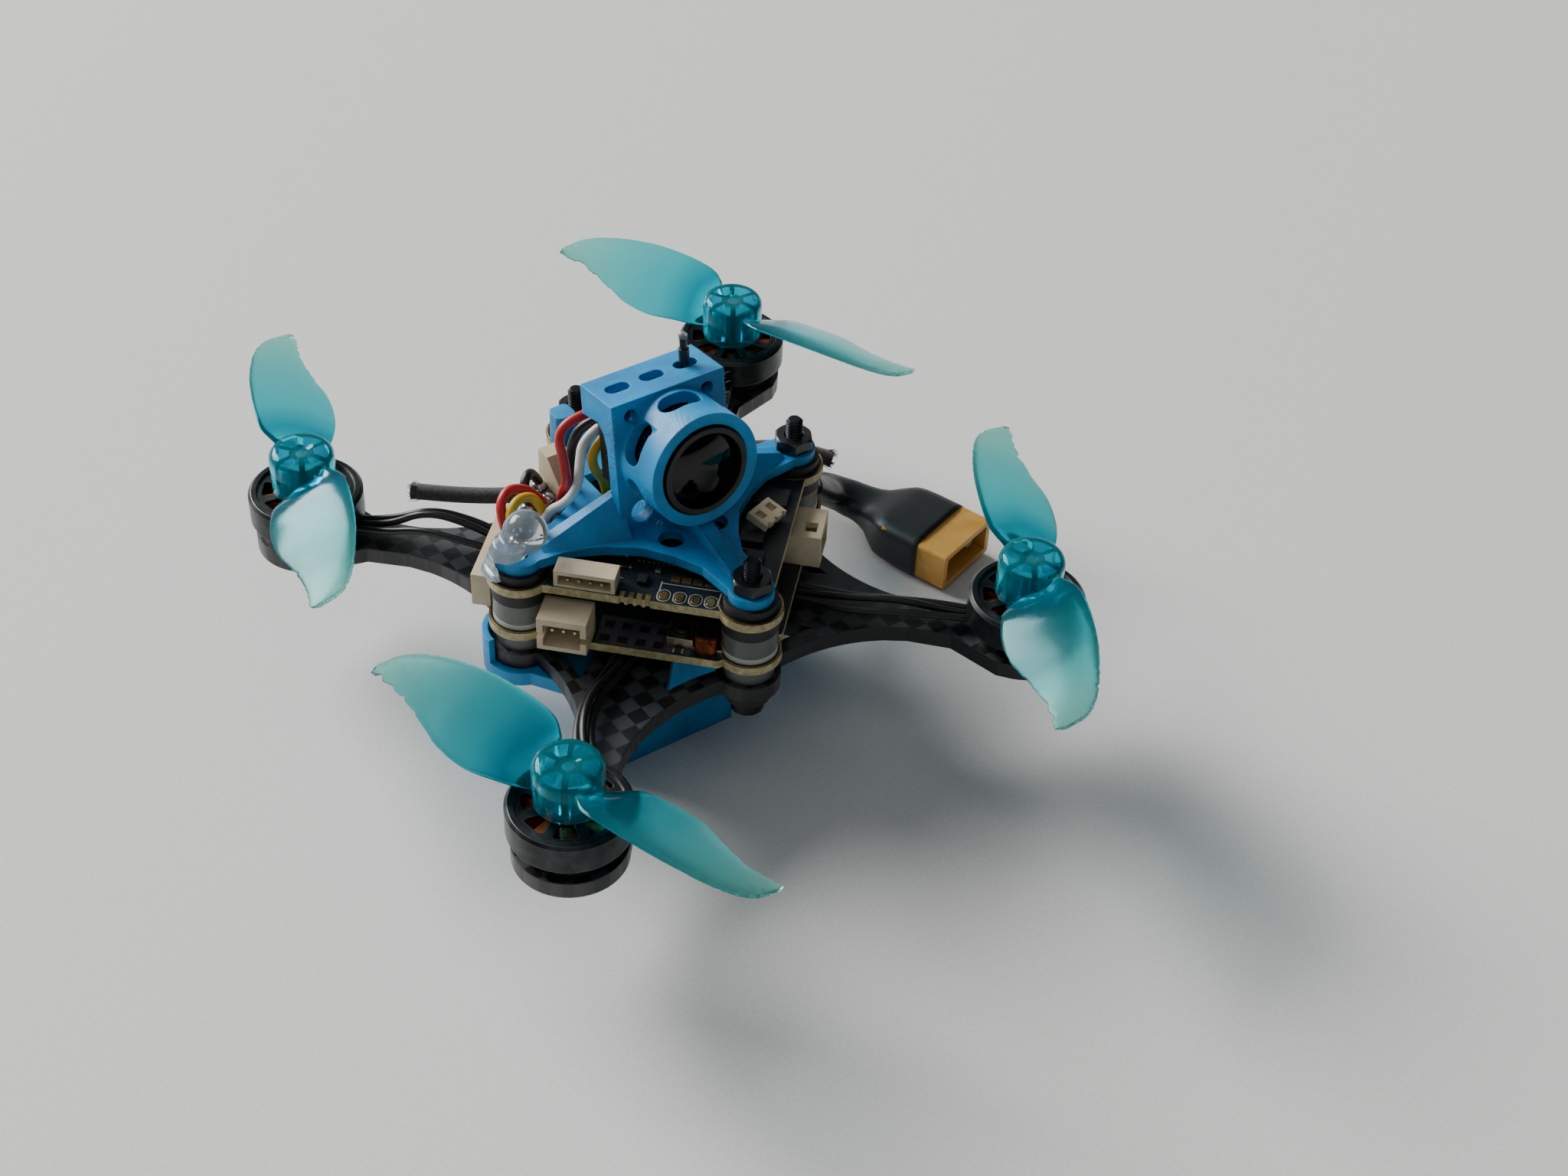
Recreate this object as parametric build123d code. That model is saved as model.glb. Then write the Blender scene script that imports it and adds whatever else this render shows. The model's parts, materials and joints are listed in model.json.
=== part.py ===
"""A two-inch FPV racing drone: carbon X frame, four motors with two-blade props, a two-board
stack on a 25.5 mm hole square, a printed canopy with its camera, a printed battery cradle,
and a power lead with its plug.

The nose points to -Y, +Z is up, and the drone stands on the battery cradle: the origin is
the middle of the cradle's flat underside.  The arms run along the diagonals.
"""
from build123d import *
from math import cos, sin, tan, radians, degrees, atan2, sqrt, hypot, pi
import os

os.makedirs("parts", exist_ok=True)

# ---- driving dimensions, mm ----
HOLE_SQUARE = 25.5             # stack hole square, the usual size for this kind of drone
MOTOR_RADIUS = 41.66           # motor axis from the middle of the frame
PROP_RADIUS = 25.4             # two-inch propellers
PLATE_TOP = 15.0               # top of the carbon plate above the table
PLATE_THICK = 2.0
BOARD_THICK = 1.05

STACK_R = HOLE_SQUARE / sqrt(2)                 # stack screw from the middle
MOTOR_A = MOTOR_RADIUS / sqrt(2)                # motor axis in X and in Y
PLATE_BOTTOM = PLATE_TOP - PLATE_THICK
LOWER_BOARD = PLATE_TOP + 2.1                   # underside of the lower board
LOWER_TOP = LOWER_BOARD + BOARD_THICK
UPPER_BOARD = PLATE_TOP + 8.25                  # underside of the upper board
UPPER_TOP = UPPER_BOARD + BOARD_THICK
CANOPY_BASE = PLATE_TOP + 10.4                  # underside of the canopy's star
CANOPY_SKIN = 1.2
CANOPY_TOP = CANOPY_BASE + CANOPY_SKIN          # top of the star, where the nuts sit
NUT_HEIGHT = 1.6
SCREW_TIP = PLATE_TOP + 15.4
SCREW_R = 1.0                                   # M2
LUG_R = 3.6
BODY_GAP = 0.02                                 # gap between neighbours that only touch

NOSE, RIGHT, LEFT, TAIL = (0, -STACK_R), (-STACK_R, 0), (STACK_R, 0), (0, STACK_R)
LUGS = (NOSE, RIGHT, LEFT, TAIL)
# motor corners: name, sign of x, sign of y, spin (+1 counter-clockwise from above), blade angle
CORNERS = (("fr", -1, -1, -1, 112.0), ("fl", 1, -1, 1, 56.0),
           ("rr", -1, 1, 1, 66.0), ("rl", 1, 1, -1, 118.0))
made = {}


def save(name, shape):
    """Write one node."""
    made[name] = shape
    export_step(shape, f"parts/{name}.step")


def group(shapes):
    """Several separate solids as one node."""
    flat = []
    for s in shapes:
        flat += list(s.solids())
    return Compound(children=flat)


def disc(x, y, z0, z1, r):
    """A round bar along Z."""
    return Pos(x, y, z0) * Cylinder(r, z1 - z0, align=(Align.CENTER, Align.CENTER, Align.MIN))


def ring(x, y, z0, z1, r_out, r_in):
    return disc(x, y, z0, z1, r_out) - disc(x, y, z0 - 1, z1 + 1, r_in)


def block(x0, x1, y0, y1, z0, z1):
    return Pos(x0, y0, z0) * Box(x1 - x0, y1 - y0, z1 - z0, align=(Align.MIN,) * 3)


def on_board(s0, s1, t0, t1, z0, z1):
    """A block square to the boards: s runs along the front-right edge towards the nose,
    t points out of that edge."""
    return Rot(0, 0, -45) * block(s0, s1, -t1, -t0, z0, z1)


def slab(outline, z0, z1):
    """A flat plate from a closed run of (x, y) points."""
    return Pos(0, 0, z0) * extrude(make_face(Polyline(*outline, close=True)), z1 - z0)


def arm_xy(d, off, sx, sy):
    """A place on an arm: d along it from the middle, off to one side of it."""
    return (sx * (d - off) / sqrt(2), sy * (d + off) / sqrt(2))


def tube_path(points, bend=0.45):
    """Straight runs joined by tangent arcs, each as wide as its shorter run allows."""
    pts = [Vector(*p) for p in points]
    radii = []
    for a, b, c in zip(pts, pts[1:], pts[2:]):
        u, v = b - a, c - b
        turn = radians(u.get_angle(v))
        radii.append(bend * min(u.length, v.length) / tan(turn / 2))
    return FilletPolyline(*pts, radius=radii), radii


def cord(name, points, r):
    """One round cord swept along its route; its volume is checked against its length."""
    path, radii = tube_path(points)
    start = Plane(origin=path @ 0, z_dir=path % 0)
    solid = sweep(start * Circle(r), path=path)
    want = pi * r * r * path.length
    if min(radii) < 1.3 * r or abs(solid.volume - want) > 0.02 * want:
        print(name, "bends", [round(v, 2) for v in radii], "volume", solid.volume, want)
    return solid


# ---- carbon frame ----
ARM_HALF = 2.45                # half the arm's width at its slimmest
PAD_R = 6.1
STRUT_WIDTH = 1.6
ROOT_HALF = 4.3                # half width of the arms where they cross


def carbon_frame():
    """One flat carbon plate: four arms with round motor pads, and four lugs carried on
    slender curved struts, so a gap stays open between each lug and the middle."""
    plan = Pos(0, 0, 0) * Rot(0, 0, 45) * Rectangle(2 * ROOT_HALF + 6, 2 * ROOT_HALF + 6)
    for name, sx, sy, spin, blade in CORNERS:
        # one side of the arm, from the middle past its broad web to the flared pad neck
        side = [(0, ROOT_HALF), (12, 4.2), (18.5, 4.7), (22, 4.2), (25.5, 3.1), (29, ARM_HALF), (34, 2.6),
                (39.5, 5.9), (41.5, PAD_R)]
        arm = [arm_xy(d, -off, sx, sy) for d, off in side]
        arm += [arm_xy(d, off, sx, sy) for d, off in reversed(side)]
        plan += make_face(Polyline(*arm, close=True))
        plan += Pos(sx * MOTOR_A, sy * MOTOR_A) * Circle(PAD_R)
        for side in (-1, 1):
            # the strut's outer edge sweeps from the lug into the side of the arm
            outer = [arm_xy(14.6, side * 11.6, sx, sy), arm_xy(19.4, side * 6.4, sx, sy),
                     arm_xy(28.5, side * ARM_HALF, sx, sy)]
            inner = [arm_xy(26.5, side * (ARM_HALF - 1.6), sx, sy),
                     arm_xy(17.6, side * 5.5, sx, sy), arm_xy(13.0, side * 10.9, sx, sy)]
            edge = ThreePointArc(*outer) + Line(outer[2], inner[0]) + ThreePointArc(*inner)
            plan += make_face(edge + Line(inner[2], outer[0]))
    for x, y in LUGS:
        plan += Pos(x, y) * Circle(LUG_R)
    plate = Pos(0, 0, PLATE_BOTTOM) * extrude(plan, PLATE_THICK)
    for x, y in LUGS:
        plate -= disc(x, y, 0, 40, SCREW_R + 0.1)
    for name, sx, sy, spin, blade in CORNERS:
        mx, my = sx * MOTOR_A, sy * MOTOR_A
        plate -= disc(mx, my, 0, 40, 1.6)
        for k in range(3):
            plate -= disc(mx + MOTOR_BOLT_R * cos(radians(MOTOR_BOLT_TURN + 120 * k)),
                          my + MOTOR_BOLT_R * sin(radians(MOTOR_BOLT_TURN + 120 * k)), 0, 40, 0.8)
    return plate


# ---- battery cradle ----
CRADLE_WALL_Y = 10.8
CRADLE_SKIN = 1.5
CRADLE_PLATE = 1.75            # the part clamped under the carbon
CRADLE_LONG, CRADLE_SHORT = 15.0, 3.0           # how far each wall runs each way


def battery_cradle():
    """Printed sleeve: a plate clamped under the side lugs, two walls and a floor.  Its open
    ends are cut on the skew, and a lip stands up round the right-hand lug."""
    roof = PLATE_BOTTOM - BODY_GAP
    under = roof - CRADLE_PLATE
    tip = STACK_R + 3.3
    plate = slab([(-tip, 2.5), (-tip, -1.5), (-CRADLE_LONG, -CRADLE_WALL_Y), (CRADLE_LONG, -CRADLE_WALL_Y),
                  (tip, -1.5), (tip, 2.5), (CRADLE_LONG, CRADLE_WALL_Y), (-CRADLE_LONG, CRADLE_WALL_Y)],
                 under, roof)
    plate -= slab([(-8, -7.5), (8, -7.5), (8, 7.5), (-8, 7.5)], under - 1, roof + 1)
    walls = slab([(-CRADLE_LONG, -CRADLE_WALL_Y), (CRADLE_SHORT, -CRADLE_WALL_Y),
                  (CRADLE_SHORT + CRADLE_SKIN * 0.65, -CRADLE_WALL_Y + CRADLE_SKIN),
                  (-CRADLE_LONG + CRADLE_SKIN * 0.65, -CRADLE_WALL_Y + CRADLE_SKIN)], 0, roof)
    walls += Rot(0, 0, 180) * walls
    floor = slab([(-CRADLE_LONG, -CRADLE_WALL_Y), (CRADLE_SHORT, -CRADLE_WALL_Y),
                  (CRADLE_LONG, CRADLE_WALL_Y), (-CRADLE_SHORT, CRADLE_WALL_Y)], 0, CRADLE_SKIN)
    lip = ring(-STACK_R, 0, under, PLATE_TOP + 1.2, LUG_R + 0.85, LUG_R + 0.15)
    lip = lip & block(-STACK_R - 6, -STACK_R - 2.2, -0.4, 4.6, 0, 40)
    lip_base = disc(-STACK_R, 0, under, roof, LUG_R + 0.85)
    lip_base += disc(STACK_R, 0, under, roof, LUG_R + 0.3)
    body = plate + walls + floor + lip + lip_base
    for x, y in (RIGHT, LEFT):
        body -= disc(x, y, 0, 40, SCREW_R + 0.1)
    return body


# ---- screws, nuts and rubbers of the stack ----
HEAD_R, HEAD_HEIGHT = 1.9, 2.0
SPACER_R = 3.1
RUBBER_BORE = SCREW_R + 0.12


def stack_screws():
    out = []
    for x, y in LUGS:
        head_top = PLATE_BOTTOM - CRADLE_PLATE - 2 * BODY_GAP
        head = disc(x, y, head_top - HEAD_HEIGHT, head_top, HEAD_R)
        # the right-hand screw stops in the canopy, which is glued there
        shank = disc(x, y, head_top - 0.5, CANOPY_TOP - 0.1 if (x, y) == RIGHT else SCREW_TIP, SCREW_R)
        socket = Pos(x, y, head_top - HEAD_HEIGHT) * extrude(RegularPolygon(0.87, 6), 1.1)
        out.append(head + shank - socket)
    return group(out)


def stack_nuts():
    """Three hexagonal nuts with rounded corners, drawn without threads, so bored to clear."""
    out = []
    for x, y in (NOSE, LEFT, TAIL):
        low = CANOPY_TOP + BODY_GAP
        hexa = Pos(x, y, low) * extrude(RegularPolygon(2.35, 6), NUT_HEIGHT)
        round_off = disc(x, y, low, low + NUT_HEIGHT, 2.32)
        hexa &= chamfer(round_off.edges().filter_by(GeomType.CIRCLE), 0.3)
        out.append(hexa - disc(x, y, 0, 60, RUBBER_BORE))
    return group(out)


def rubber_rings():
    """Black rings: under the frame at nose and tail, under and over the upper board."""
    out = []
    for x, y in (NOSE, TAIL):
        low = PLATE_BOTTOM - CRADLE_PLATE - BODY_GAP
        out.append(ring(x, y, low, PLATE_BOTTOM - BODY_GAP, 2.6, RUBBER_BORE))
    for x, y in LUGS:
        out.append(ring(x, y, UPPER_BOARD - 1.8, UPPER_BOARD - BODY_GAP, 3.2, RUBBER_BORE))
        out.append(ring(x, y, UPPER_TOP + BODY_GAP, CANOPY_BASE - BODY_GAP, 3.0, RUBBER_BORE))
    return group(out)


def grey_spacers():
    """Milky spacers: one under the lower board and a taller one over it at each screw."""
    out = []
    for x, y in LUGS:
        out.append(ring(x, y, PLATE_TOP + BODY_GAP, LOWER_BOARD - BODY_GAP, SPACER_R - 0.2, RUBBER_BORE))
        out.append(ring(x, y, LOWER_TOP + BODY_GAP, UPPER_BOARD - 1.8 - BODY_GAP, SPACER_R, RUBBER_BORE))
    return group(out)


# ---- circuit boards ----
LOWER_HALF, UPPER_HALF = 15.9, 14.7


def board(half, z0):
    plan = Rot(0, 0, 45) * Rectangle(2 * half, 2 * half)
    # the square's own corners are cut back to the lugs
    for x, y in LUGS:
        plan -= Pos(x * 1.3, y * 1.3) * Rectangle(10.4, 10.4)
    for x, y in LUGS:
        plan += Pos(x, y) * Circle(LUG_R)
    b = Pos(0, 0, z0) * extrude(plan, BOARD_THICK)
    for x, y in LUGS:
        b -= disc(x, y, 0, 60, SCREW_R + 0.15)
    return b


def upper_board():
    b = board(UPPER_HALF, UPPER_BOARD)
    for k in range(4):                          # half-round notches along the front edge
        s = -1.0 + 0.95 * k
        b -= Rot(0, 0, -45) * disc(s, -UPPER_HALF, 0, 60, 0.3)
    for k in range(4):                          # a row of wire holes
        b -= Rot(0, 0, -45) * disc(4.07 + 1.27 * k, -10.6, 0, 60, 0.35)
    return b


def board_chips():
    """Black chips and small parts on both boards."""
    up, low = UPPER_TOP + BODY_GAP, LOWER_TOP + BODY_GAP
    out = [on_board(-0.9, 6.1, 1.0, 7.9, up, up + 0.85),        # processor
           on_board(0.2, 1.2, 11.0, 12.4, up, up + 0.5),
           on_board(10.8, 12.8, 4.6, 6.3, up, up + 0.7),
           on_board(9.6, 12.2, 1.6, 3.4, up, up + 0.8),
           on_board(9.8, 13.6, -6.6, -3.6, up, up + 0.7)]
    for s0, t0 in ((-7, -12), (-1.8, -12), (-7, -6.5), (3.4, -6.5), (-7, -1.0)):
        out.append(on_board(s0, s0 + 3.2, t0, t0 + 3.4, low, low + 0.85))   # power switches
    for s0, t0 in ((10.6, 8.0), (12.6, 5.6), (12.6, 3.6), (-11.5, 8.6)):
        out.append(on_board(s0, s0 + 1.7, t0, t0 + 1.3, low, low + 1.4))
    return group(out)


def open_socket(s0, s1, t0, t1, z0, z1, wall, face="t+"):
    """A plug socket with its mouth out of one side of the board."""
    b = on_board(s0, s1, t0, t1, z0, z1)
    if face == "t+":
        return b - on_board(s0 + wall, s1 - wall, t0 + 0.8, t1 + 1, z0 + wall * 0.8, z1 - wall * 1.1)
    if face == "s+":
        return b - on_board(s0 + 0.8, s1 + 1, t0 + wall, t1 - wall, z0 + wall * 0.8, z1 - wall * 1.1)
    return b - on_board(s0 - 1, s1 - 0.8, t0 + wall, t1 - wall, z0 + wall * 0.8, z1 - wall * 1.1)


SOCKET_HEIGHT = 4.2


def motor_sockets():
    z = LOWER_TOP + BODY_GAP
    top = z + SOCKET_HEIGHT
    front = open_socket(-9.6, -4.1, 14.0, 18.1, z, top, 0.7)
    for s in (-9.6, -4.1):                      # polarising slots in the two side walls
        front -= on_board(s - 1, s + 1, 16.4, 18.2, z + 1.5, z + 2.3)
    left = open_socket(13.8, 18.0, -7.2, -1.9, z, top, 0.7, "s+")
    left -= on_board(15.9, 17.3, -4.6, -3.0, top - 1.4, top + 1)
    right = open_socket(-18.4, -14.0, 0.4, 8.9, z, top, 0.7, "s-")
    right += on_board(-18.4, -16.25, 8.8, 12.6, z, top)
    pins = socket_pins(0.18)
    front, left, right = front - pins, left - pins, right - pins
    return group([front, left, right])


def socket_pins(half=0.16):
    """Square contact pins in the three sockets."""
    z = LOWER_TOP + BODY_GAP + SOCKET_HEIGHT / 2
    out = []
    for k in range(3):
        s = -8.1 + 1.25 * k
        out.append(on_board(s - half, s + half, 14.3 - half, 17.2, z - half, z + half))
        t = -5.8 + 1.25 * k
        out.append(on_board(14.1 - half, 17.2, t - half, t + half, z - half, z + half))
    for k in range(5):
        t = 2.2 + 1.25 * k
        out.append(on_board(-17.6, -14.3 + half, t - half, t + half, z - half, z + half))
    return group(out)


def camera_socket():
    z = UPPER_TOP + BODY_GAP
    return open_socket(-8.5, -1.75, 12.1, 14.6, z, z + 2.1, 0.45)


def inductor():
    z = LOWER_TOP + BODY_GAP
    coil = on_board(7.1, 9.5, 12.2, 15.2, z, z + 2.2)
    coil = fillet(coil.edges().filter_by(Axis.Z), 0.5)
    return coil


def boot_switch():
    """Switch case with a round well for its press button."""
    z = LOWER_TOP + BODY_GAP
    case = on_board(4.0, 6.9, 11.9, 14.9, z, z + 1.5)
    return case - on_board_well(z + 0.5, z + 3, 0.85)


def on_board_well(z0, z1, r):
    return Rot(0, 0, -45) * disc(5.45, -13.4, z0, z1, r)


def boot_button():
    z = LOWER_TOP + BODY_GAP
    return on_board_well(z + 0.85, z + 2.0, 0.78)


def tilted_socket():
    """A small beige socket that has lifted and leans on the upper board."""
    b = Box(4.0, 2.7, 0.9, align=(Align.CENTER, Align.CENTER, Align.MIN))
    for k in (-1.0, 1.0):
        b -= Pos(k, 0.2, 0.4) * Box(1.0, 1.1, 2, align=(Align.CENTER, Align.CENTER, Align.MIN))
    for k in (-1.4, 0, 1.4):
        b -= Pos(k, -1.35, 0) * Box(0.5, 0.5, 3)
    return Pos(8.9, -7.7, UPPER_TOP + 0.95) * Rot(12, 10, 20) * b


# ---- canopy and camera ----
CAMERA_HALF = 7.1              # half the width of the camera cage
CAMERA_TILT = 7.0              # how far the camera looks up
CAGE_FRONT = (-1.4, PLATE_TOP + 27.5)           # y and z of the cage's top front edge
CAGE_DEPTH = 6.4
CAGE_SKIN = 1.6
LENS_DROP = 7.05               # lens axis below the cage's top, along the front wall
HOOD_LENGTH = 6.6
HOOD_R = 6.6
LENS_R = 5.2
CHEEK = 1.15                   # thickness of the cage's two cheeks


def cage_frame():
    """Local frame of the camera cage: origin on its top front edge, X along the drone's X,
    Y back along the top, Z up the front wall."""
    return Plane(origin=(0, CAGE_FRONT[0], CAGE_FRONT[1]), x_dir=(1, 0, 0),
                 z_dir=(0, sin(radians(CAMERA_TILT)), cos(radians(CAMERA_TILT))))


def in_cage(shape):
    return cage_frame().location * shape


def lens_bar(y0, y1, r):
    """A round bar on the lens axis, from y0 to y1 in the cage's frame (front is negative)."""
    return in_cage(Pos(0, y0, -LENS_DROP) * Rot(-90, 0, 0) *
                   Cylinder(r, y1 - y0, align=(Align.CENTER, Align.CENTER, Align.MIN)))


def wedge(p, q, foot_z, thick):
    """A thin rib from a high point p to a low point q, filled down to foot_z."""
    ax, ay, az = p
    bx, by, bz = q
    ux, uy = bx - ax, by - ay
    n = hypot(ux, uy)
    side = Plane(origin=(ax, ay, 0), x_dir=(ux / n, uy / n, 0), z_dir=(uy / n, -ux / n, 0))
    face = make_face(Polyline((0, foot_z), (n, foot_z), (n, bz), (0, az), close=True))
    return side * Pos(0, 0, -thick / 2) * extrude(face, thick)


def canopy():
    """Printed canopy: a four-legged star on the screws, a cage with three slots in its top,
    a hood round the lens, and ribs from the cage and the hood down the legs."""
    star = Circle(9.0)
    for x, y in LUGS:
        star += Pos(x, y) * Circle(2.5)
        side = [(0, 8.8), (6.8, 6.0), (9.6, 4.0), (12.5, 2.6), (STACK_R, 2.1)]
        outline = side + [(a, -b) for a, b in reversed(side)]
        star += Rot(0, 0, degrees(atan2(y, x))) * make_face(Polyline(*outline, close=True))
    body = Pos(0, 0, CANOPY_BASE) * extrude(star, CANOPY_SKIN)
    # openings through the star: under the camera, and the small ones near the nose
    body -= Pos(0, 3.6, 0) * block(-5.2, 5.2, -1.4, 4.2, 0, 60)
    for x in (-2.8, 2.8):
        body -= disc(x, -6.7, 0, 60, 1.45)

    # cage: front wall down to the star, top plate, and two cheeks
    drop = (CAGE_FRONT[1] - CANOPY_BASE - 0.6) / cos(radians(CAMERA_TILT))
    w = CAMERA_HALF
    front = in_cage(block(-w, w, 0, CAGE_SKIN, -drop, 0))
    top = in_cage(block(-w, w, 0, CAGE_DEPTH, -CAGE_SKIN, 0))
    for x in (-4.3, 0.0, 4.3):
        slot = Pos(x, 3.3, -5) * extrude(SlotOverall(2.9, 1.7), 10)
        top -= in_cage(slot)
    body += front + top
    # hood round the lens, flared where it meets the wall
    hood = lens_bar(-HOOD_LENGTH, 0.4, HOOD_R)
    flare = in_cage(Pos(0, -2.6, -LENS_DROP) * Rot(-90, 0, 0) *
                    Cone(HOOD_R, w - 0.35, 2.8, align=(Align.CENTER, Align.CENTER, Align.MIN)))
    body += hood + flare
    # ribs: a low one from the hood to the nose screw, and a broad sloping web on each side
    body += wedge((0, -3.5, CANOPY_TOP + 4.2), (0, -15.4, CANOPY_TOP + 0.5), CANOPY_BASE, 1.8)
    for sx in (-1, 1):
        web = []
        for x, section in ((6.4, ((-4.6, -0.2), (-1.5, 4.4), (-0.5, 4.4), (1.0, -0.2))),
                           (15.8, ((-1.9, -0.2), (-0.9, 0.4), (0.5, 0.4), (1.2, -0.2)))):
            corners = [(sx * x, y, CANOPY_TOP + z) for y, z in section]
            web.append(make_face(Polyline(*corners, close=True)))
        web.sort(key=lambda f: f.center().X)
        body += loft(web, ruled=True)
    # cheeks that brace the top plate against the front wall
    outline = [(0.5, -6.0), (CAGE_SKIN, -6.0), (CAGE_SKIN + 0.5, -4.2), (3.2, -3.2), (CAGE_DEPTH, -3.6),
               (CAGE_DEPTH, -0.5), (0.5, -0.5)]
    cheek = extrude(Plane.YZ * make_face(Polyline(*outline, close=True)), CHEEK)
    for x0 in (-w, w - CHEEK):
        body += in_cage(Pos(x0, 0, 0) * cheek)
    # a rounded post beside the tail screw
    post = Pos(-3.35, 15.5, CANOPY_BASE) * extrude(RectangleRounded(2.5, 2.5, 0.7), 4.6)
    body += post
    # bore for the lens, and five vents round the hood
    body -= lens_bar(-HOOD_LENGTH - 1, CAGE_SKIN + 0.3, LENS_R + 0.12)
    for a in (0, 60, 120, 240, 300):
        vent = Pos(0, -2.2, -LENS_DROP) * Rot(0, a, 0) * extrude(SlotOverall(5.0, 2.7), 8.5)
        body -= in_cage(vent)
    # small holes in the front wall: two at its top corners, two larger ones low down
    for x in (-1, 1):
        body -= in_cage(Pos(x * 4.8, 0, -1.75) * Rot(90, 0, 0) * Cylinder(0.8, 8))
        body -= in_cage(Pos(x * 4.3, 0, -13.9) * Rot(90, 0, 0) * Cylinder(1.4, 8))
    for x, y in LUGS:
        body -= disc(x, y, 0, 60, SCREW_R + 0.12)
        body -= disc(x, y, CANOPY_TOP, 60, 2.5)
    return body


CAMERA_LAYERS = (1.65, 2.95, 3.8, 5.7)          # front case, pale board, back case: their faces
CAMERA_DROP = (-11.9, -1.75)                    # bottom and top of the camera in the cage


def camera_layer(k, half):
    lo, hi = CAMERA_LAYERS[k], CAMERA_LAYERS[k + 1] - BODY_GAP
    return in_cage(block(-half, half, lo, hi, *CAMERA_DROP))


def camera_case():
    """The camera's housing: a front and a back half behind the canopy's front wall."""
    return group([camera_layer(0, 5.7), camera_layer(2, 5.7)])


def camera_board():
    return camera_layer(1, 5.85)


LENS_FACE = -HOOD_LENGTH - 0.35                 # front of the barrel's rim
GLASS_R, GLASS_SEAT, GLASS_RIM, GLASS_BALL = 4.4, 1.3, 0.4, 12.0


def lens_barrel():
    """Black barrel; its front is stepped down behind the glass like the rings of a lens."""
    barrel = lens_bar(LENS_FACE, CAMERA_LAYERS[0] - BODY_GAP, LENS_R - 0.12)
    seat = LENS_FACE + GLASS_SEAT
    for deep, r in ((0.0, GLASS_R + 0.03), (0.5, 3.7), (1.0, 3.0), (1.5, 2.1), (2.1, 1.1)):
        barrel -= lens_bar(LENS_FACE - 1, seat + deep, r)
    return barrel


def lens_glass():
    """Front element, a shallow dome seated in the barrel."""
    seat = LENS_FACE + GLASS_SEAT - BODY_GAP
    rise = GLASS_BALL - sqrt(GLASS_BALL ** 2 - GLASS_R ** 2)
    ball = in_cage(Pos(0, seat - GLASS_RIM - rise + GLASS_BALL, -LENS_DROP) * Sphere(GLASS_BALL))
    return ball & lens_bar(seat - 2, seat, GLASS_R)


ANTENNA_TUBE = 3.5


def antenna():
    """Thin receiver antenna: a black tube through the third slot, with a clear tip."""
    place = Pos(4.2, 3.3, -CAGE_SKIN - 0.02)
    on_base = (Align.CENTER, Align.CENTER, Align.MIN)
    tube = Cylinder(0.6, ANTENNA_TUBE, align=on_base)
    tip = Pos(0, 0, ANTENNA_TUBE + BODY_GAP) * Cylinder(0.42, 1.5, align=on_base)
    return group([in_cage(place * tube), in_cage(place * tip)])


def rear_plug():
    """Pale plug housing with a sloping front on the upper board, behind the camera."""
    low = UPPER_TOP + BODY_GAP
    side = Plane.YZ * make_face(Polyline((8.0, low), (12.7, low), (12.7, low + 4.2), (10.7, low + 4.2),
                                         (8.0, low + 1.6), close=True))
    return Pos(-8.2, 0, 0) * extrude(side, 2.8)


# ---- motors ----
MOTOR_BOLT_R, MOTOR_BOLT_TURN = 3.3, 30
BELL_R = 6.54
BELL_LOW, BELL_HIGH = PLATE_TOP + 2.1, PLATE_TOP + 5.5
FLUX_RING_IN = 6.05
SHAFT_R = 0.75
BEARING_R = 1.5
HUB_LOW = BELL_HIGH + 0.35
HUB_TOP = PLATE_TOP + 11.2


def motor_base():
    """Fixed foot of one motor, with the tube that holds bearings and stator."""
    z = PLATE_TOP + BODY_GAP
    foot = disc(0, 0, z, z + 1.1, 5.3) + disc(0, 0, z + 1.0, z + 1.7, 3.4)
    for k in range(3):
        a = radians(MOTOR_BOLT_TURN + 120 * k + 60)
        foot -= Rot(0, 0, degrees(a)) * Pos(4.9, 0, z) * Box(2.4, 2.2, 4)
    tube = disc(0, 0, z + 1.0, PLATE_TOP + 4.6, 1.9)
    body = foot + tube - disc(0, 0, 0, 60, BEARING_R)
    for k in range(3):
        a = radians(MOTOR_BOLT_TURN + 120 * k)
        body -= disc(MOTOR_BOLT_R * cos(a), MOTOR_BOLT_R * sin(a), 0, z + 0.9, 0.62)
    return body


def stator_core():
    """Nine laminated teeth on a ring."""
    z0, z1 = PLATE_TOP + 2.35, PLATE_TOP + 4.35
    core = ring(0, 0, z0, z1, 2.6, 1.9 + BODY_GAP)
    for k in range(9):
        tooth = Rot(0, 0, 40 * k) * block(2.4, 5.0, -0.35, 0.35, z0, z1)
        cap = Rot(0, 0, 40 * k) * (ring(0, 0, z0, z1, 5.35, 4.85) & block(3, 7, -1.35, 1.35, z0, z1))
        core += tooth + cap
    return core


def stator_windings():
    z0, z1 = PLATE_TOP + 2.35, PLATE_TOP + 4.35
    out = []
    for k in range(9):
        coil = block(2.75, 4.75, -0.85, 0.85, z0 - 0.45, z1 + 0.3)
        coil -= block(2, 6, -0.37, 0.37, z0 - BODY_GAP, z1 + BODY_GAP)
        # the coil narrows towards the middle, where the teeth crowd together
        coil &= slab([(2.7, -0.78), (4.8, -0.86), (4.8, 0.86), (2.7, 0.78)], z0 - 1, z1 + 1)
        out.append(Rot(0, 0, 40 * k) * coil)
    return group(out)


def motor_bearings():
    out = []
    for z0 in (PLATE_TOP + 0.35, PLATE_TOP + 3.3):
        out.append(ring(0, 0, z0, z0 + 1.1, BEARING_R - 0.005, SHAFT_R + 0.03))
    return group(out)


def motor_screws():
    out = []
    for k in range(3):
        a = radians(MOTOR_BOLT_TURN + 120 * k)
        x, y = MOTOR_BOLT_R * cos(a), MOTOR_BOLT_R * sin(a)
        out.append(disc(x, y, PLATE_BOTTOM - 0.85, PLATE_BOTTOM - BODY_GAP, 1.15) +
                   disc(x, y, PLATE_BOTTOM - 0.5, PLATE_TOP + 0.85, 0.58))
    return group(out)


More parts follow.
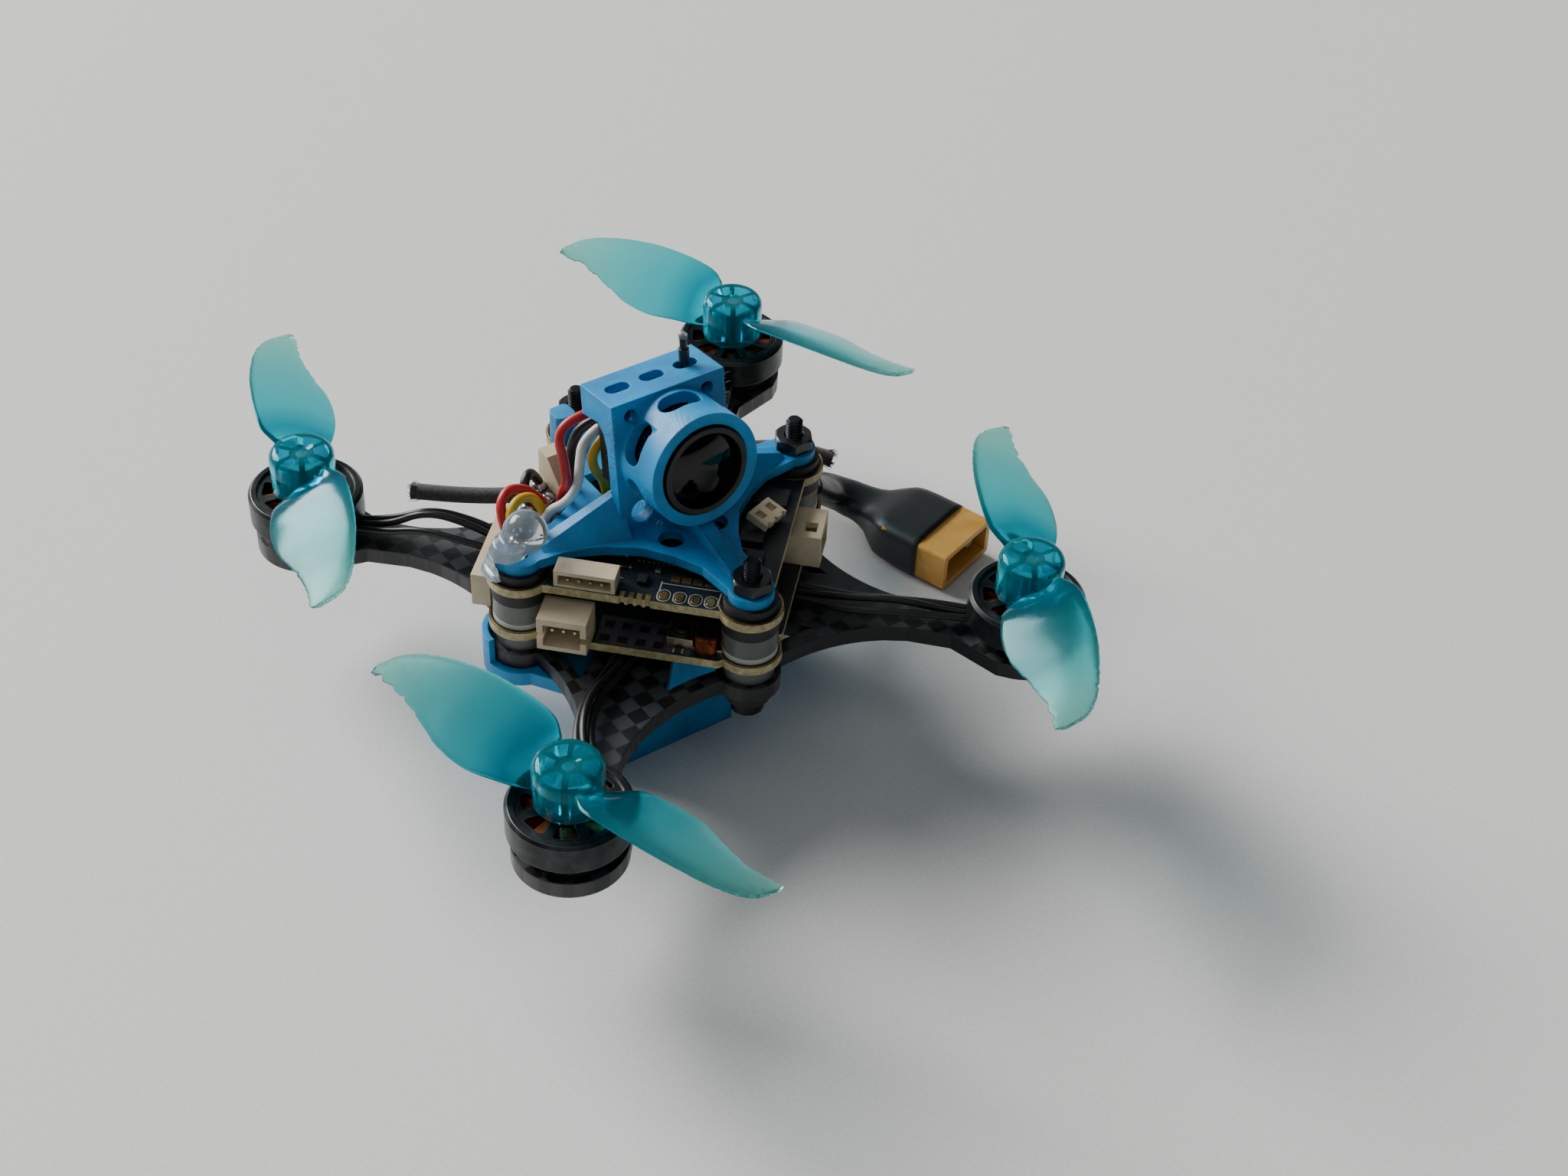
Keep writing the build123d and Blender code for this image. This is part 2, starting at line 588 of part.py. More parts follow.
def motor_bell():
    """Rotating can: outer ring, spoked top with eight windows, and the shaft boss."""
    bell = disc(0, 0, BELL_LOW, BELL_HIGH, BELL_R) - disc(0, 0, BELL_LOW - 1, BELL_HIGH - 0.6, FLUX_RING_IN)
    bell -= disc(0, 0, BELL_HIGH - 0.28, BELL_HIGH + 1, 5.6)
    rims = bell.edges().filter_by(GeomType.CIRCLE)
    outer = [e for e in rims if e.radius > BELL_R - 0.1 and e.center().Z > BELL_HIGH - 0.01]
    bell = chamfer(outer, 0.35)
    for k in range(8):
        bell -= Rot(0, 0, 45 * k + 10) * window()
    boss = disc(0, 0, BELL_HIGH - 0.85, BELL_HIGH + 0.1, 1.7)
    return bell + boss - disc(0, 0, 0, 60, SHAFT_R)


def window():
    """One rounded window between two spokes."""
    w = Polyline((2.5, -0.55), (4.9, -1.45), (4.9, 1.45), (2.5, 0.55), close=True)
    face = make_face(w)
    face = fillet(face.vertices(), 0.4)
    return Pos(0, 0, BELL_HIGH - 2) * extrude(face, 4)


def magnets():
    out = []
    for k in range(12):
        seg = ring(0, 0, BELL_LOW + 0.25, BELL_HIGH - 0.75, FLUX_RING_IN - BODY_GAP, 5.6)
        out.append(Rot(0, 0, 30 * k + 15) * (seg & block(4, 7, -1.3, 1.3, 0, 60)))
    return group(out)


def motor_shaft():
    return disc(0, 0, PLATE_TOP + 0.1, HUB_TOP - 1.6, SHAFT_R - 0.003)


# blade sections, measured out from the shaft: radius, trailing edge (side, height above the
# plate) and leading edge (side, height), in mm
BLADE = ((2.6, 1.3, 6.6, -2.6, 10.3),
         (4.5, 2.8, 7.2, -4.2, 10.8),
         (6.5, 3.65, 7.64, -4.85, 11.1),
         (10.0, 4.0, 7.5, -5.3, 11.3),
         (14.0, 3.4, 7.8, -5.5, 11.25),
         (17.0, 2.1, 8.2, -5.35, 11.0),
         (20.0, 0.9, 8.65, -5.0, 10.6),
         (22.5, 0.3, 8.95, -4.3, 10.15),
         (24.2, 0.15, 9.1, -3.2, 9.75),
         (25.3, 0.05, 9.2, -1.3, 9.4))
BLADE_THICK = (1.5, 1.2, 1.0, 0.85, 0.75, 0.7, 0.66, 0.6, 0.56, 0.5)
RIM_POINTS = 16                # corners of each section; straight sides keep the blade's mesh closed


def propeller(spin):
    """Two-blade propeller pressed on the shaft; the well under its hub is ribbed."""
    hub = disc(0, 0, HUB_LOW, HUB_TOP, 3.7)
    hub = fillet([e for e in hub.edges().filter_by(GeomType.CIRCLE) if e.center().Z > HUB_TOP - 0.1], 1.1)
    well = disc(0, 0, HUB_LOW - 1, HUB_TOP - 1.0, 2.9) - disc(0, 0, HUB_LOW - 1, HUB_TOP, 1.45)
    for k in range(6):
        well -= Rot(0, 0, 60 * k) * block(1.2, 3.2, -0.25, 0.25, HUB_LOW - 1, HUB_TOP)
    blade = None
    for turn in (0, 180):
        faces = []
        for (r, t1, z1, t2, z2), thick in zip(BLADE, BLADE_THICK):
            mid = Vector(r, (t1 + t2) / 2, PLATE_TOP + (z1 + z2) / 2)
            chord = Vector(0, t1 - t2, z1 - z2)
            pl = Plane(origin=mid, x_dir=chord.normalized(), z_dir=(1, 0, 0))
            half = Vector(chord.length / 2, thick / 2)
            rim = [(half.X * cos(2 * pi * k / RIM_POINTS), half.Y * sin(2 * pi * k / RIM_POINTS))
                   for k in range(RIM_POINTS)]
            faces.append(pl * make_face(Polyline(*rim, close=True)))
        b = loft(faces, ruled=True)
        b = Rot(0, 0, turn) * b
        blade = b if blade is None else blade + b
    body = hub + blade
    body = body - well - disc(0, 0, 0, HUB_TOP - 1.5, SHAFT_R)
    if spin > 0:
        body = mirror(body, Plane.XZ)
    return body


# ---- wires, cords and the power lead ----
MOTOR_WIRE_R = 0.45


def motor_wires(sx, sy, style):
    """Three wires from under the lower board, along one arm, to the motor's foot."""
    out = []
    for k in (-1, 0, 1):
        side, lift = style[k + 1]
        near = 0.95 * k
        z0 = PLATE_TOP + 1.1
        stops = [(12.5, near, z0), (17.5, near + side * 0.35, z0 + 0.1),
                 (22.0, near * 1.1 + side, PLATE_TOP + lift * 0.75),
                 (27.5, near * 1.1 + side * 0.9, PLATE_TOP + lift),
                 (32.2, near + side * 0.25, PLATE_TOP + 1.6), (36.1, near * 0.9, PLATE_TOP + 1.3)]
        pts = []
        for d, off, z in stops:
            x, y = arm_xy(d, off, sx, sy)
            pts.append((x, y, z))
        out.append(cord("motor wire", pts, MOTOR_WIRE_R))
    return group(out)


# sideways bow and height of the three wires on each arm
WIRE_STYLE = {"fr": ((-2.2, 1.4), (-2.6, 2.5), (-2.9, 1.5)), "fl": ((0.9, 1.7), (1.2, 2.9), (1.6, 2.1)),
              "rr": ((-0.8, 3.4), (0.2, 4.6), (0.9, 3.6)), "rl": ((-0.6, 1.8), (0.0, 2.8), (0.7, 1.9))}
SIGNAL_R = 0.62


def harness():
    """Camera leads, and the loops that arch over the right-hand corner of the upper board.
    Heights are above the upper board."""
    routes = {
        "red": [(-8.9, 6.6, 0.7), (-9.2, 6.0, 2.8), (-9.5, 3.9, 5.7), (-9.9, 4.0, 9.1),
                (-10.1, 4.8, 11.6), (-8.5, 5.2, 13.1), (-5.4, 4.9, 13.3)],
        "red loop": [(-10.4, 8.0, 0.7), (-11.6, 7.6, 2.5), (-13.1, 7.3, 4.2), (-15.4, 7.1, 5.2),
                     (-17.2, 5.8, 3.9), (-17.0, 4.5, 1.6)],
        "white": [(-12.1, 4.7, 0.7), (-11.8, 4.5, 2.4), (-10.4, 2.9, 3.9), (-9.0, 2.5, 6.0),
                  (-7.95, 3.9, 7.9), (-6.9, 4.9, 10.0), (-4.9, 4.7, 11.0)],
        "yellow": [(-3.9, 4.9, 0.7), (-4.2, 4.8, 3.2), (-5.8, 4.6, 5.6), (-6.0, 4.7, 8.2),
                   (-4.0, 4.9, 9.4)],
        "yellow loop": [(-11.5, 6.2, 0.7), (-12.4, 6.1, 2.3), (-13.6, 5.9, 3.4), (-15.3, 5.6, 3.2),
                        (-15.8, 4.3, 1.9), (-14.4, 4.0, 0.7)],
        "black": [(-7.3, 7.1, 0.7), (-7.5, 6.8, 4.6), (-7.4, 6.6, 8.7), (-5.9, 6.4, 10.9),
                  (-3.6, 5.2, 11.9)],
        "black loop": [(-9.0, 11.4, 0.7), (-9.9, 11.2, 2.6), (-11.2, 10.1, 3.4), (-12.3, 9.1, 2.3),
                       (-11.9, 8.6, 0.7)],
    }
    tubes = {}
    for name, points in routes.items():
        colour = name.split()[0]
        lifted = [(x, y, UPPER_TOP + z) for x, y, z in points]
        tubes.setdefault(colour, []).append(cord(name, lifted, SIGNAL_R))
    return tubes


CORD_R = 1.1
LEAD_R = 1.35
LEAD_PITCH = 3.0               # between the two conductors of the lead
PLUG_YAW = -72.0
PLUG_REAR = (41.0, -1.6)       # middle of the plug housing's back end
PLUG_W, PLUG_H, PLUG_SHOWN = 10.2, 5.2, 3.6
SLEEVE_LENGTH = 9.5
SLEEVE_SKIN = 0.45
PLUG_WALL = 0.8


def plug_place(shape):
    """From the plug's own frame (X out of its mouth, Z up, on the table) to the drone's."""
    return Pos(PLUG_REAR[0], PLUG_REAR[1], 0) * Rot(0, 0, PLUG_YAW) * shape


def plug_housing():
    """Amber shell with an open mouth; its back half is inside the shrink sleeve."""
    side, low, high = PLUG_W / 2, SLEEVE_SKIN, SLEEVE_SKIN + PLUG_H
    h = block(-6.0, PLUG_SHOWN, -side, side, low, high)
    h = fillet(h.edges().filter_by(Axis.X), 0.5)
    h -= block(-4.0, PLUG_SHOWN + 1, -side + PLUG_WALL, side - PLUG_WALL, low + PLUG_WALL, high - PLUG_WALL)
    for y in (-2.5, 2.5):
        h -= Pos(-5, y, SLEEVE_SKIN + PLUG_H / 2) * Rot(0, 90, 0) * Cylinder(1.02, 4)
    return plug_place(h)


def plug_pins():
    out = []
    for y in (-2.5, 2.5):
        p = Pos(-6.8, y, SLEEVE_SKIN + PLUG_H / 2) * Rot(0, 90, 0) * Cylinder(
            1.0, 9.2, align=(Align.CENTER, Align.CENTER, Align.MIN))
        out.append(plug_place(p))
    return group(out)


def lead_sleeve():
    """Black heat-shrink over the back of the plug and the start of the lead."""
    h2 = SLEEVE_SKIN + PLUG_H / 2
    half_w = PLUG_W / 2 + SLEEVE_SKIN
    s = block(-7.5, -0.6, -half_w, half_w, 0, PLUG_H + 2 * SLEEVE_SKIN)
    s = fillet(s.edges().filter_by(Axis.X), 0.8)
    steps = [(-SLEEVE_LENGTH - 1.5, 7.4, 4.2), (-7.5, half_w * 2 - 0.1, PLUG_H + 2 * SLEEVE_SKIN - 0.1)]
    s += loft([Pos(x, 0, h2) * Plane.YZ * RectangleRounded(w, h, 0.8) for x, w, h in steps])
    fit = PLUG_W / 2 + 0.01
    s -= block(-6.02, 2, -fit, fit, SLEEVE_SKIN - 0.01, SLEEVE_SKIN + PLUG_H + 0.01)
    s -= block(-7.2, -5.9, -4.3, 4.3, SLEEVE_SKIN + 0.7, SLEEVE_SKIN + PLUG_H - 0.7)
    for y in (-LEAD_PITCH / 2, LEAD_PITCH / 2):
        s -= Pos(-SLEEVE_LENGTH - 2, y, h2) * Rot(0, 90, 0) * Cylinder(
            LEAD_R + 0.02, SLEEVE_LENGTH - 4.0, align=(Align.CENTER, Align.CENTER, Align.MIN))
    return plug_place(s)


def lead_middle():
    """Route of the lead's middle line: off the lower board, down to the table and into the
    back of the plug."""
    yaw = radians(PLUG_YAW)
    h2 = SLEEVE_SKIN + PLUG_H / 2

    def back(d):
        return (PLUG_REAR[0] - cos(yaw) * d, PLUG_REAR[1] - sin(yaw) * d, h2)
    root = LOWER_TOP + BODY_GAP + LEAD_R + 0.05
    return [(12.6, 6.0, root), (20.5, 6.8, root), (28.2, 10.4, PLATE_TOP - 6.0), back(16.4), back(7.3)]


def lead_route(side):
    """One conductor, half the pitch to one side of the middle line."""
    mid = lead_middle()
    out = []
    for k, (x, y, z) in enumerate(mid):
        # the mitred sideways direction at this corner
        dirs = []
        for a, b in ((k - 1, k), (k, k + 1)):
            if 0 <= a and b < len(mid):
                dx, dy = mid[b][0] - mid[a][0], mid[b][1] - mid[a][1]
                n = hypot(dx, dy)
                dirs.append((-dy / n, dx / n))
        nx, ny = sum(d[0] for d in dirs), sum(d[1] for d in dirs)
        n = hypot(nx, ny)
        nx, ny = nx / n, ny / n
        stretch = 1 / (nx * dirs[0][0] + ny * dirs[0][1])
        off = side * LEAD_PITCH / 2 * stretch
        out.append((x + nx * off, y + ny * off, z))
    return out


def elastic_cord():
    """Elastic cord held between the two boards, with a free end at each side."""
    low, high = PLATE_TOP + 5.5, UPPER_BOARD - CORD_R - 0.07
    pts = [(-19.4, 22.6, low), (-13.6, 17.2, low + 0.2), (-7.6, 12.4, high), (9.0, 9.2, high),
           (20.8, 5.8, high), (24.8, 1.2, high - 1.2)]
    return cord("elastic cord", pts, CORD_R)


def glue_blob():
    """Clear hot glue over the end of the right-hand screw, running down to the board's edge."""
    x, y = RIGHT
    cap = Pos(x + 1.2, y + 0.6, CANOPY_TOP + NUT_HEIGHT + 0.4) * Sphere(2.5)
    neck = loft([Pos(x - 0.2, y + 0.5, CANOPY_TOP + 1.6) * Ellipse(2.4, 2.2),
                 Pos(x - 2.5, y + 0.8, UPPER_TOP + 0.15) * Ellipse(1.6, 2.0)])
    blob = cap + neck
    blob -= disc(x, y, 0, 60, 3.02) & block(-40, 40, -40, 40, UPPER_TOP, CANOPY_BASE)
    blob -= disc(x, y, 0, 60, 3.0) & block(-40, 40, -40, 40, CANOPY_BASE - 0.1, CANOPY_TOP + 0.02)
    return blob


def clear_of(shape, *others):
    """Cut the pieces that a poured or printed part has to make room for."""
    for o in others:
        shape = shape - o
    return shape


# ---- build every node ----
save("carbon_frame", carbon_frame())
save("battery_cradle", battery_cradle())
save("stack_screws", stack_screws())
save("stack_nuts", stack_nuts())
save("rubber_rings", rubber_rings())
save("grey_spacers", grey_spacers())
save("lower_board", board(LOWER_HALF, LOWER_BOARD))
save("upper_board", upper_board())
save("board_chips", board_chips())
save("motor_sockets", motor_sockets())
save("socket_pins", socket_pins())
save("camera_socket", camera_socket())
save("inductor", inductor())
save("boot_switch", boot_switch())
save("boot_button", boot_button())
save("tilted_socket", tilted_socket())
save("canopy", canopy())
save("camera_case", camera_case())
save("camera_board", camera_board())
save("lens_barrel", lens_barrel())
save("lens_glass", lens_glass())
save("antenna", antenna())
save("rear_plug", rear_plug())

bases, cores, coils, bearings, screws = [], [], [], [], []
for name, sx, sy, spin, blade_angle in CORNERS:
    at = Pos(sx * MOTOR_A, sy * MOTOR_A, 0)
    bases.append(at * motor_base())
    cores.append(at * stator_core())
    coils.append(at * stator_windings())
    bearings.append(at * motor_bearings())
    screws.append(at * motor_screws())
    save(f"bell_{name}", at * motor_bell())
    save(f"magnets_{name}", at * magnets())
    save(f"shaft_{name}", at * motor_shaft())
    save(f"prop_{name}", at * Rot(0, 0, blade_angle) * propeller(spin))
    save(f"motor_wires_{name}", motor_wires(sx, sy, WIRE_STYLE[name]))
save("motor_bases", group(bases))
save("stator_cores", group(cores))
save("stator_windings", group(coils))
save("motor_bearings", group(bearings))
save("motor_screws", group(screws))

for colour, tubes in harness().items():
    save(f"wire_{colour}", group(tubes))
save("elastic_cord", elastic_cord())
save("power_lead_pos", cord("lead", lead_route(1), LEAD_R))
save("power_lead_neg", cord("lead", lead_route(-1), LEAD_R))
save("lead_sleeve", lead_sleeve())
save("plug_housing", plug_housing())
save("plug_pins", plug_pins())
save("glue_blob", clear_of(glue_blob(), made["canopy"], made["stack_screws"], made["rubber_rings"]))

for name, shape in made.items():
    count = len(shape.solids())
    if not all(s.is_valid for s in shape.solids()) or count == 0:
        print("check", name, count)
print(len(made), "nodes")
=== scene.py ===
"""Looks for the two-inch FPV racing drone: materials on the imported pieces, and finer pieces
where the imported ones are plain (propellers, threads, wires, glue, board details)."""
import json
import random
from math import cos, exp, pi, radians, sin, sqrt

import bpy
import bmesh
from mathutils import Matrix, Vector, noise


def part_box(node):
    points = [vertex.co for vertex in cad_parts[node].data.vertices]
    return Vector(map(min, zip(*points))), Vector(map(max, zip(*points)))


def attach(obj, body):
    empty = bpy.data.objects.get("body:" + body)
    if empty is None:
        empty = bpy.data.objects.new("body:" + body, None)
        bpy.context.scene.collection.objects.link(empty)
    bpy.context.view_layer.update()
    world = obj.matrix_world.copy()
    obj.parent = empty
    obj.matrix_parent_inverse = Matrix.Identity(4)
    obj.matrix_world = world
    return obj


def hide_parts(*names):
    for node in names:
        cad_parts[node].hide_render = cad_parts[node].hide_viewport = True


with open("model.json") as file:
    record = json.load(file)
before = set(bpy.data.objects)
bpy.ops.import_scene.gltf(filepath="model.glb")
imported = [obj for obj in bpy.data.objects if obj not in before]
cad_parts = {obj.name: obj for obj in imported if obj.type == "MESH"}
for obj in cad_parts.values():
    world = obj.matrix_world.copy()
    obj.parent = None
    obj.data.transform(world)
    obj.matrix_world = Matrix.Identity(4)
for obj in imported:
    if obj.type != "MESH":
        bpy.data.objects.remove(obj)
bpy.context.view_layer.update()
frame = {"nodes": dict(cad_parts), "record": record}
MM = 0.001
ROOT = "airframe"
# which way each corner lies in X and Y, which way its rotor turns, its blade angle in degrees
CORNERS = {"fr": (-1, -1, -1, 112.0), "fl": (1, -1, 1, 56.0), "rr": (-1, 1, 1, 66.0), "rl": (1, 1, -1, 118.0)}


def level(node, top=True):
    """Height of a node's top or bottom, mm."""
    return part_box(node)[1 if top else 0].z / MM


def middle(node):
    lo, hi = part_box(node)
    return (lo + hi) / 2 / MM


PLATE = level("carbon_frame")                   # top of the carbon plate
UPPER = level("upper_board")                    # tops of the two boards
LOWER = level("lower_board")
CANOPY = PLATE + 11.6                           # top of the canopy's star
SCREW_TIP = level("stack_screws")
LUG = 25.5 / sqrt(2)                            # stack screw from the middle
LUGS = ((0, -LUG), (-LUG, 0), (LUG, 0), (0, LUG))
C45 = sqrt(0.5)


# ---- camera, floor and light ----
def make_camera():
    azimuth, elevation, roll = radians(-36.755), radians(40.825), radians(2.958)
    target, distance = Vector((11.0, -9.06, 14.86)), 263.66
    back = Vector((sin(azimuth) * cos(elevation), -cos(azimuth) * cos(elevation), sin(elevation)))
    right = Vector((cos(azimuth), sin(azimuth), 0))
    up = back.cross(right)
    x = right * cos(roll) + up * sin(roll)
    y = up * cos(roll) - right * sin(roll)
    data = bpy.data.cameras.new("camera")
    data.lens, data.sensor_width = 53.0, 36.0
    data.clip_start, data.clip_end = 0.01, 20
    cam = bpy.data.objects.new("camera", data)
    bpy.context.scene.collection.objects.link(cam)
    place = Matrix((x, y, back)).transposed().to_4x4()
    place.translation = (target + back * distance) * MM
    cam.matrix_world = place
    bpy.context.scene.camera = cam


def area_light(name, location, target, size, power, colour):
    data = bpy.data.lights.new(name, "AREA")
    data.shape, data.size, data.size_y = "RECTANGLE", size[0], size[1]
    data.energy, data.color = power, colour
    lamp = bpy.data.objects.new(name, data)
    bpy.context.scene.collection.objects.link(lamp)
    lamp.location = location
    lamp.rotation_euler = (Vector(target) - Vector(location)).to_track_quat("-Z", "Y").to_euler()


# ---- materials ----
def srgb(r, g, b):
    """0-255 screen values to a linear colour."""
    def lin(v):
        v /= 255
        return v / 12.92 if v <= 0.04045 else ((v + 0.055) / 1.055) ** 2.4
    return (lin(r), lin(g), lin(b), 1.0)


class Shader:
    """A Principled material and short calls that build its node graph."""

    def __init__(self, name, base, rough=0.5, metal=0.0, **sockets):
        self.mat = bpy.data.materials.new(name)
        self.mat.use_nodes = True
        self.tree = self.mat.node_tree
        self.bsdf = self.tree.nodes["Principled BSDF"]
        self.set(base_color=base, roughness=rough, metallic=metal, **sockets)
        self.coords = self.node("ShaderNodeTexCoord").outputs["Object"]

    def set(self, **sockets):
        for key, value in sockets.items():
            self.bsdf.inputs[key.replace("_", " ").title().replace("Ior", "IOR")].default_value = value

    def node(self, kind, **values):
        n = self.tree.nodes.new(kind)
        for key, value in values.items():
            if hasattr(n, key):
                setattr(n, key, value)
            else:
                n.inputs[key.replace("_", " ").title()].default_value = value
        return n

    def link(self, a, b):
        self.tree.links.new(a, b)

    def noise(self, scale, detail=3.0, rough=0.55, vector=None):
        n = self.node("ShaderNodeTexNoise", Scale=scale, Detail=detail, Roughness=rough)
        self.link(vector or self.coords, n.inputs["Vector"])
        return n.outputs["Fac"]

    def math(self, op, a, b=0.0, clamp=False):
        n = self.node("ShaderNodeMath", operation=op, use_clamp=clamp)
        for socket, value in zip(n.inputs, (a, b)):
            if isinstance(value, (int, float)):
                socket.default_value = value
            else:
                self.link(value, socket)
        return n.outputs[0]

    def ramp(self, fac, *stops):
        """Colour ramp: stops are (position, colour)."""
        n = self.node("ShaderNodeValToRGB")
        marks = n.color_ramp.elements
        while len(marks) < len(stops):
            marks.new(0.5)
        for mark, (at, colour) in zip(marks, stops):
            mark.position, mark.color = at, colour
        self.link(fac, n.inputs["Fac"])
        return n.outputs["Color"]

    def spread(self, fac, low, high):
        """Map 0-1 to low-high."""
        n = self.node("ShaderNodeMapRange")
        n.inputs["To Min"].default_value, n.inputs["To Max"].default_value = low, high
        self.link(fac, n.inputs["Value"])
        return n.outputs["Result"]

    def mix(self, fac, a, b):
        n = self.node("ShaderNodeMix", data_type="RGBA")
        for socket, value in ((n.inputs["Factor"], fac), (n.inputs[6], a), (n.inputs[7], b)):
            if isinstance(value, (int, float, tuple)):
                socket.default_value = value
            else:
                self.link(value, socket)
        return n.outputs[2]

    def colour(self, out):
        self.link(out, self.bsdf.inputs["Base Color"])

    def rough(self, out):
        self.link(out, self.bsdf.inputs["Roughness"])

    def bump(self, height, strength=0.3, distance=0.00005):
        n = self.node("ShaderNodeBump")
        n.inputs["Strength"].default_value, n.inputs["Distance"].default_value = strength, distance
        self.link(height, n.inputs["Height"])
        previous = self.bsdf.inputs["Normal"]
        if previous.is_linked:
            self.link(previous.links[0].from_socket, n.inputs["Normal"])
        self.link(n.outputs["Normal"], previous)

    def axis(self, name):
        """One coordinate of the object's own frame."""
        n = self.node("ShaderNodeSeparateXYZ")
        self.link(self.coords, n.inputs[0])
        return n.outputs[name]

    def round_edges(self, radius=0.00015):
        """Soften hard edges in the shading; call it before bump."""
        n = self.node("ShaderNodeBevel", samples=4)
        n.inputs["Radius"].default_value = radius
        self.link(n.outputs["Normal"], self.bsdf.inputs["Normal"])
        return n.outputs["Normal"]

    # edge mask for pale edges that are partly wear and partly a painted highlight
    def wear_and_highlight_edges(self, radius=0.00025, gain=5.0):
        """1 along edges and corners, 0 on flat faces."""
        smooth = self.round_edges(radius)
        geometry = self.node("ShaderNodeNewGeometry")
        n = self.node("ShaderNodeVectorMath", operation="DOT_PRODUCT")
        self.link(smooth, n.inputs[0])
        self.link(geometry.outputs["Normal"], n.inputs[1])
        return self.math("MULTIPLY", self.math("SUBTRACT", 1.0, n.outputs["Value"]), gain, True)

    def facing_up(self):
        """1 on faces that look up or down, 0 on the sides."""
        geometry = self.node("ShaderNodeNewGeometry")
        split = self.node("ShaderNodeSeparateXYZ")
        self.link(geometry.outputs["Normal"], split.inputs[0])
        return self.math("GREATER_THAN", self.math("ABSOLUTE", split.outputs["Z"]), 0.6)

    def speckled(self, dark, light, scale, low=0.35, high=0.65):
        """Mottled colour between two tones."""
        self.colour(self.ramp(self.noise(scale), (low, dark), (high, light)))
        return self


def moulded(name, colour, rough=0.45, grain=2500, depth=0.00002, shade=0.75, **sockets):
    """Moulded plastic or rubber: slight mottling, fine grain, uneven gloss."""
    s = Shader(name, colour, rough, **sockets)
    dark = tuple(c * shade for c in colour[:3]) + (1.0,)
    s.round_edges()
    s.speckled(dark, colour, 350)
    s.rough(s.spread(s.noise(900), rough * 0.75, min(1, rough * 1.3)))
    s.bump(s.noise(grain, 2), 0.35, depth)
    return s


def metal(name, colour, rough):
    """Bare or plated metal with faint stains and uneven gloss."""
    s = Shader(name, colour, rough, 1.0)
    dark = tuple(c * 0.6 for c in colour[:3]) + (1.0,)
    s.round_edges(0.00012)
    s.speckled(dark, colour, 500)
    s.rough(s.spread(s.noise(1500), rough * 0.7, min(1, rough * 1.5)))
    s.bump(s.noise(3000, 2), 0.2, 0.00001)
    return s


def carbon_material():
    """Plain-weave laminate: a checker of tows whose two directions catch light unevenly."""
    s = Shader("carbon_weave", srgb(16, 20, 24), 0.38, coat_weight=0.25, coat_roughness=0.25)
    cell = 0.0019
    x, y = s.axis("X"), s.axis("Y")

    def parity(v):
        return s.math("FLOORED_MODULO", s.math("FLOOR", s.math("DIVIDE", v, cell)), 2.0)
    check = s.math("FLOORED_MODULO", s.math("ADD", parity(x), parity(y)), 2.0)
    thread_wave = s.math("SINE", s.math("MULTIPLY", s.mix(check, x, y), 24000.0))
    threads = s.math("MULTIPLY", s.math("ADD", thread_wave, 1.0), 0.5)
    # painted sheen: the checker's dark and light tones stand for the two tow directions catching the light
    # unevenly
    tone = s.mix(check, srgb(9, 11, 14), srgb(58, 62, 68))
    worn = s.mix(s.spread(s.noise(260), 0.0, 0.5), tone, srgb(22, 25, 29))
    edge = srgb(15, 16, 18)
    s.round_edges(0.0003)
    s.colour(s.mix(s.facing_up(), edge, worn))
    uneven = s.math("ADD", s.math("MULTIPLY", check, 0.5), s.math("MULTIPLY", s.noise(800), 0.5))
    s.rough(s.spread(uneven, 0.3, 0.62))
    s.bump(threads, 0.15, 0.00001)
    # laminate layers on the cut edge
    layers = s.math("SINE", s.math("MULTIPLY", s.axis("Z"), 26000.0))
    s.bump(layers, 0.12, 0.00001)
    return s.mat


def printed_material():
    """Blue printed plastic: layer lines, a little fuzz and paler edges, partly wear and partly a painted
    highlight.
    """
    s = Shader("blue_print", srgb(10, 120, 184), 0.46, subsurface_weight=0.12, subsurface_scale=0.0006)
    s.set(subsurface_radius=(0.2, 0.6, 1.0))
    mottled = s.ramp(s.noise(180, 4), (0.3, srgb(0, 116, 172)), (0.7, srgb(0, 150, 216)))
    # pale spots for scratches and rubbed places, partly a painted glint where they catch the light
    rubbed_and_glint = s.ramp(s.noise(2600, 5, 0.7), (0.62, (0, 0, 0, 1)), (0.78, (1, 1, 1, 1)))
    # pale edges: partly wear, partly a painted highlight of the lit edges
    corners = s.math("MULTIPLY", s.wear_and_highlight_edges(0.0002, 4.0), s.spread(s.noise(2100, 4), 0.0, 1.0))
    pale = s.math("MAXIMUM", s.math("MULTIPLY", corners, 0.8), s.math("MULTIPLY", rubbed_and_glint, 0.16))
    s.colour(s.mix(pale, mottled, srgb(96, 186, 232)))
    s.rough(s.spread(s.noise(700), 0.36, 0.62))
    layers = s.math("SINE", s.math("MULTIPLY", s.axis("Z"), 2 * pi / 0.00016))
    s.bump(layers, 0.28, 0.000012)
    s.bump(s.noise(1400, 5, 0.65), 0.35, 0.00004)
    return s.mat


def board_material():
    """Black solder mask over yellow-beige glass laminate that shows at the cut edge."""
    s = Shader("board_laminate", srgb(12, 17, 20), 0.3)
    traces = s.node("ShaderNodeTexBrick", Scale=620.0)
    traces.inputs["Color1"].default_value = srgb(11, 17, 20)
    traces.inputs["Color2"].default_value = srgb(17, 27, 32)
    traces.inputs["Mortar"].default_value = srgb(26, 40, 46)
    traces.inputs["Mortar Size"].default_value = 0.03
    turned = s.node("ShaderNodeMapping")
    turned.inputs["Rotation"].default_value = (0, 0, radians(45))
    s.link(s.coords, turned.inputs["Vector"])
    s.link(turned.outputs["Vector"], traces.inputs["Vector"])
    glass = s.ramp(s.noise(1500, 4), (0.3, srgb(140, 128, 88)), (0.7, srgb(196, 184, 138)))
    s.colour(s.mix(s.facing_up(), glass, traces.outputs["Color"]))
    s.rough(s.spread(s.noise(900), 0.25, 0.5))
    s.bump(traces.outputs["Fac"], 0.2, 0.00001)
    return s.mat


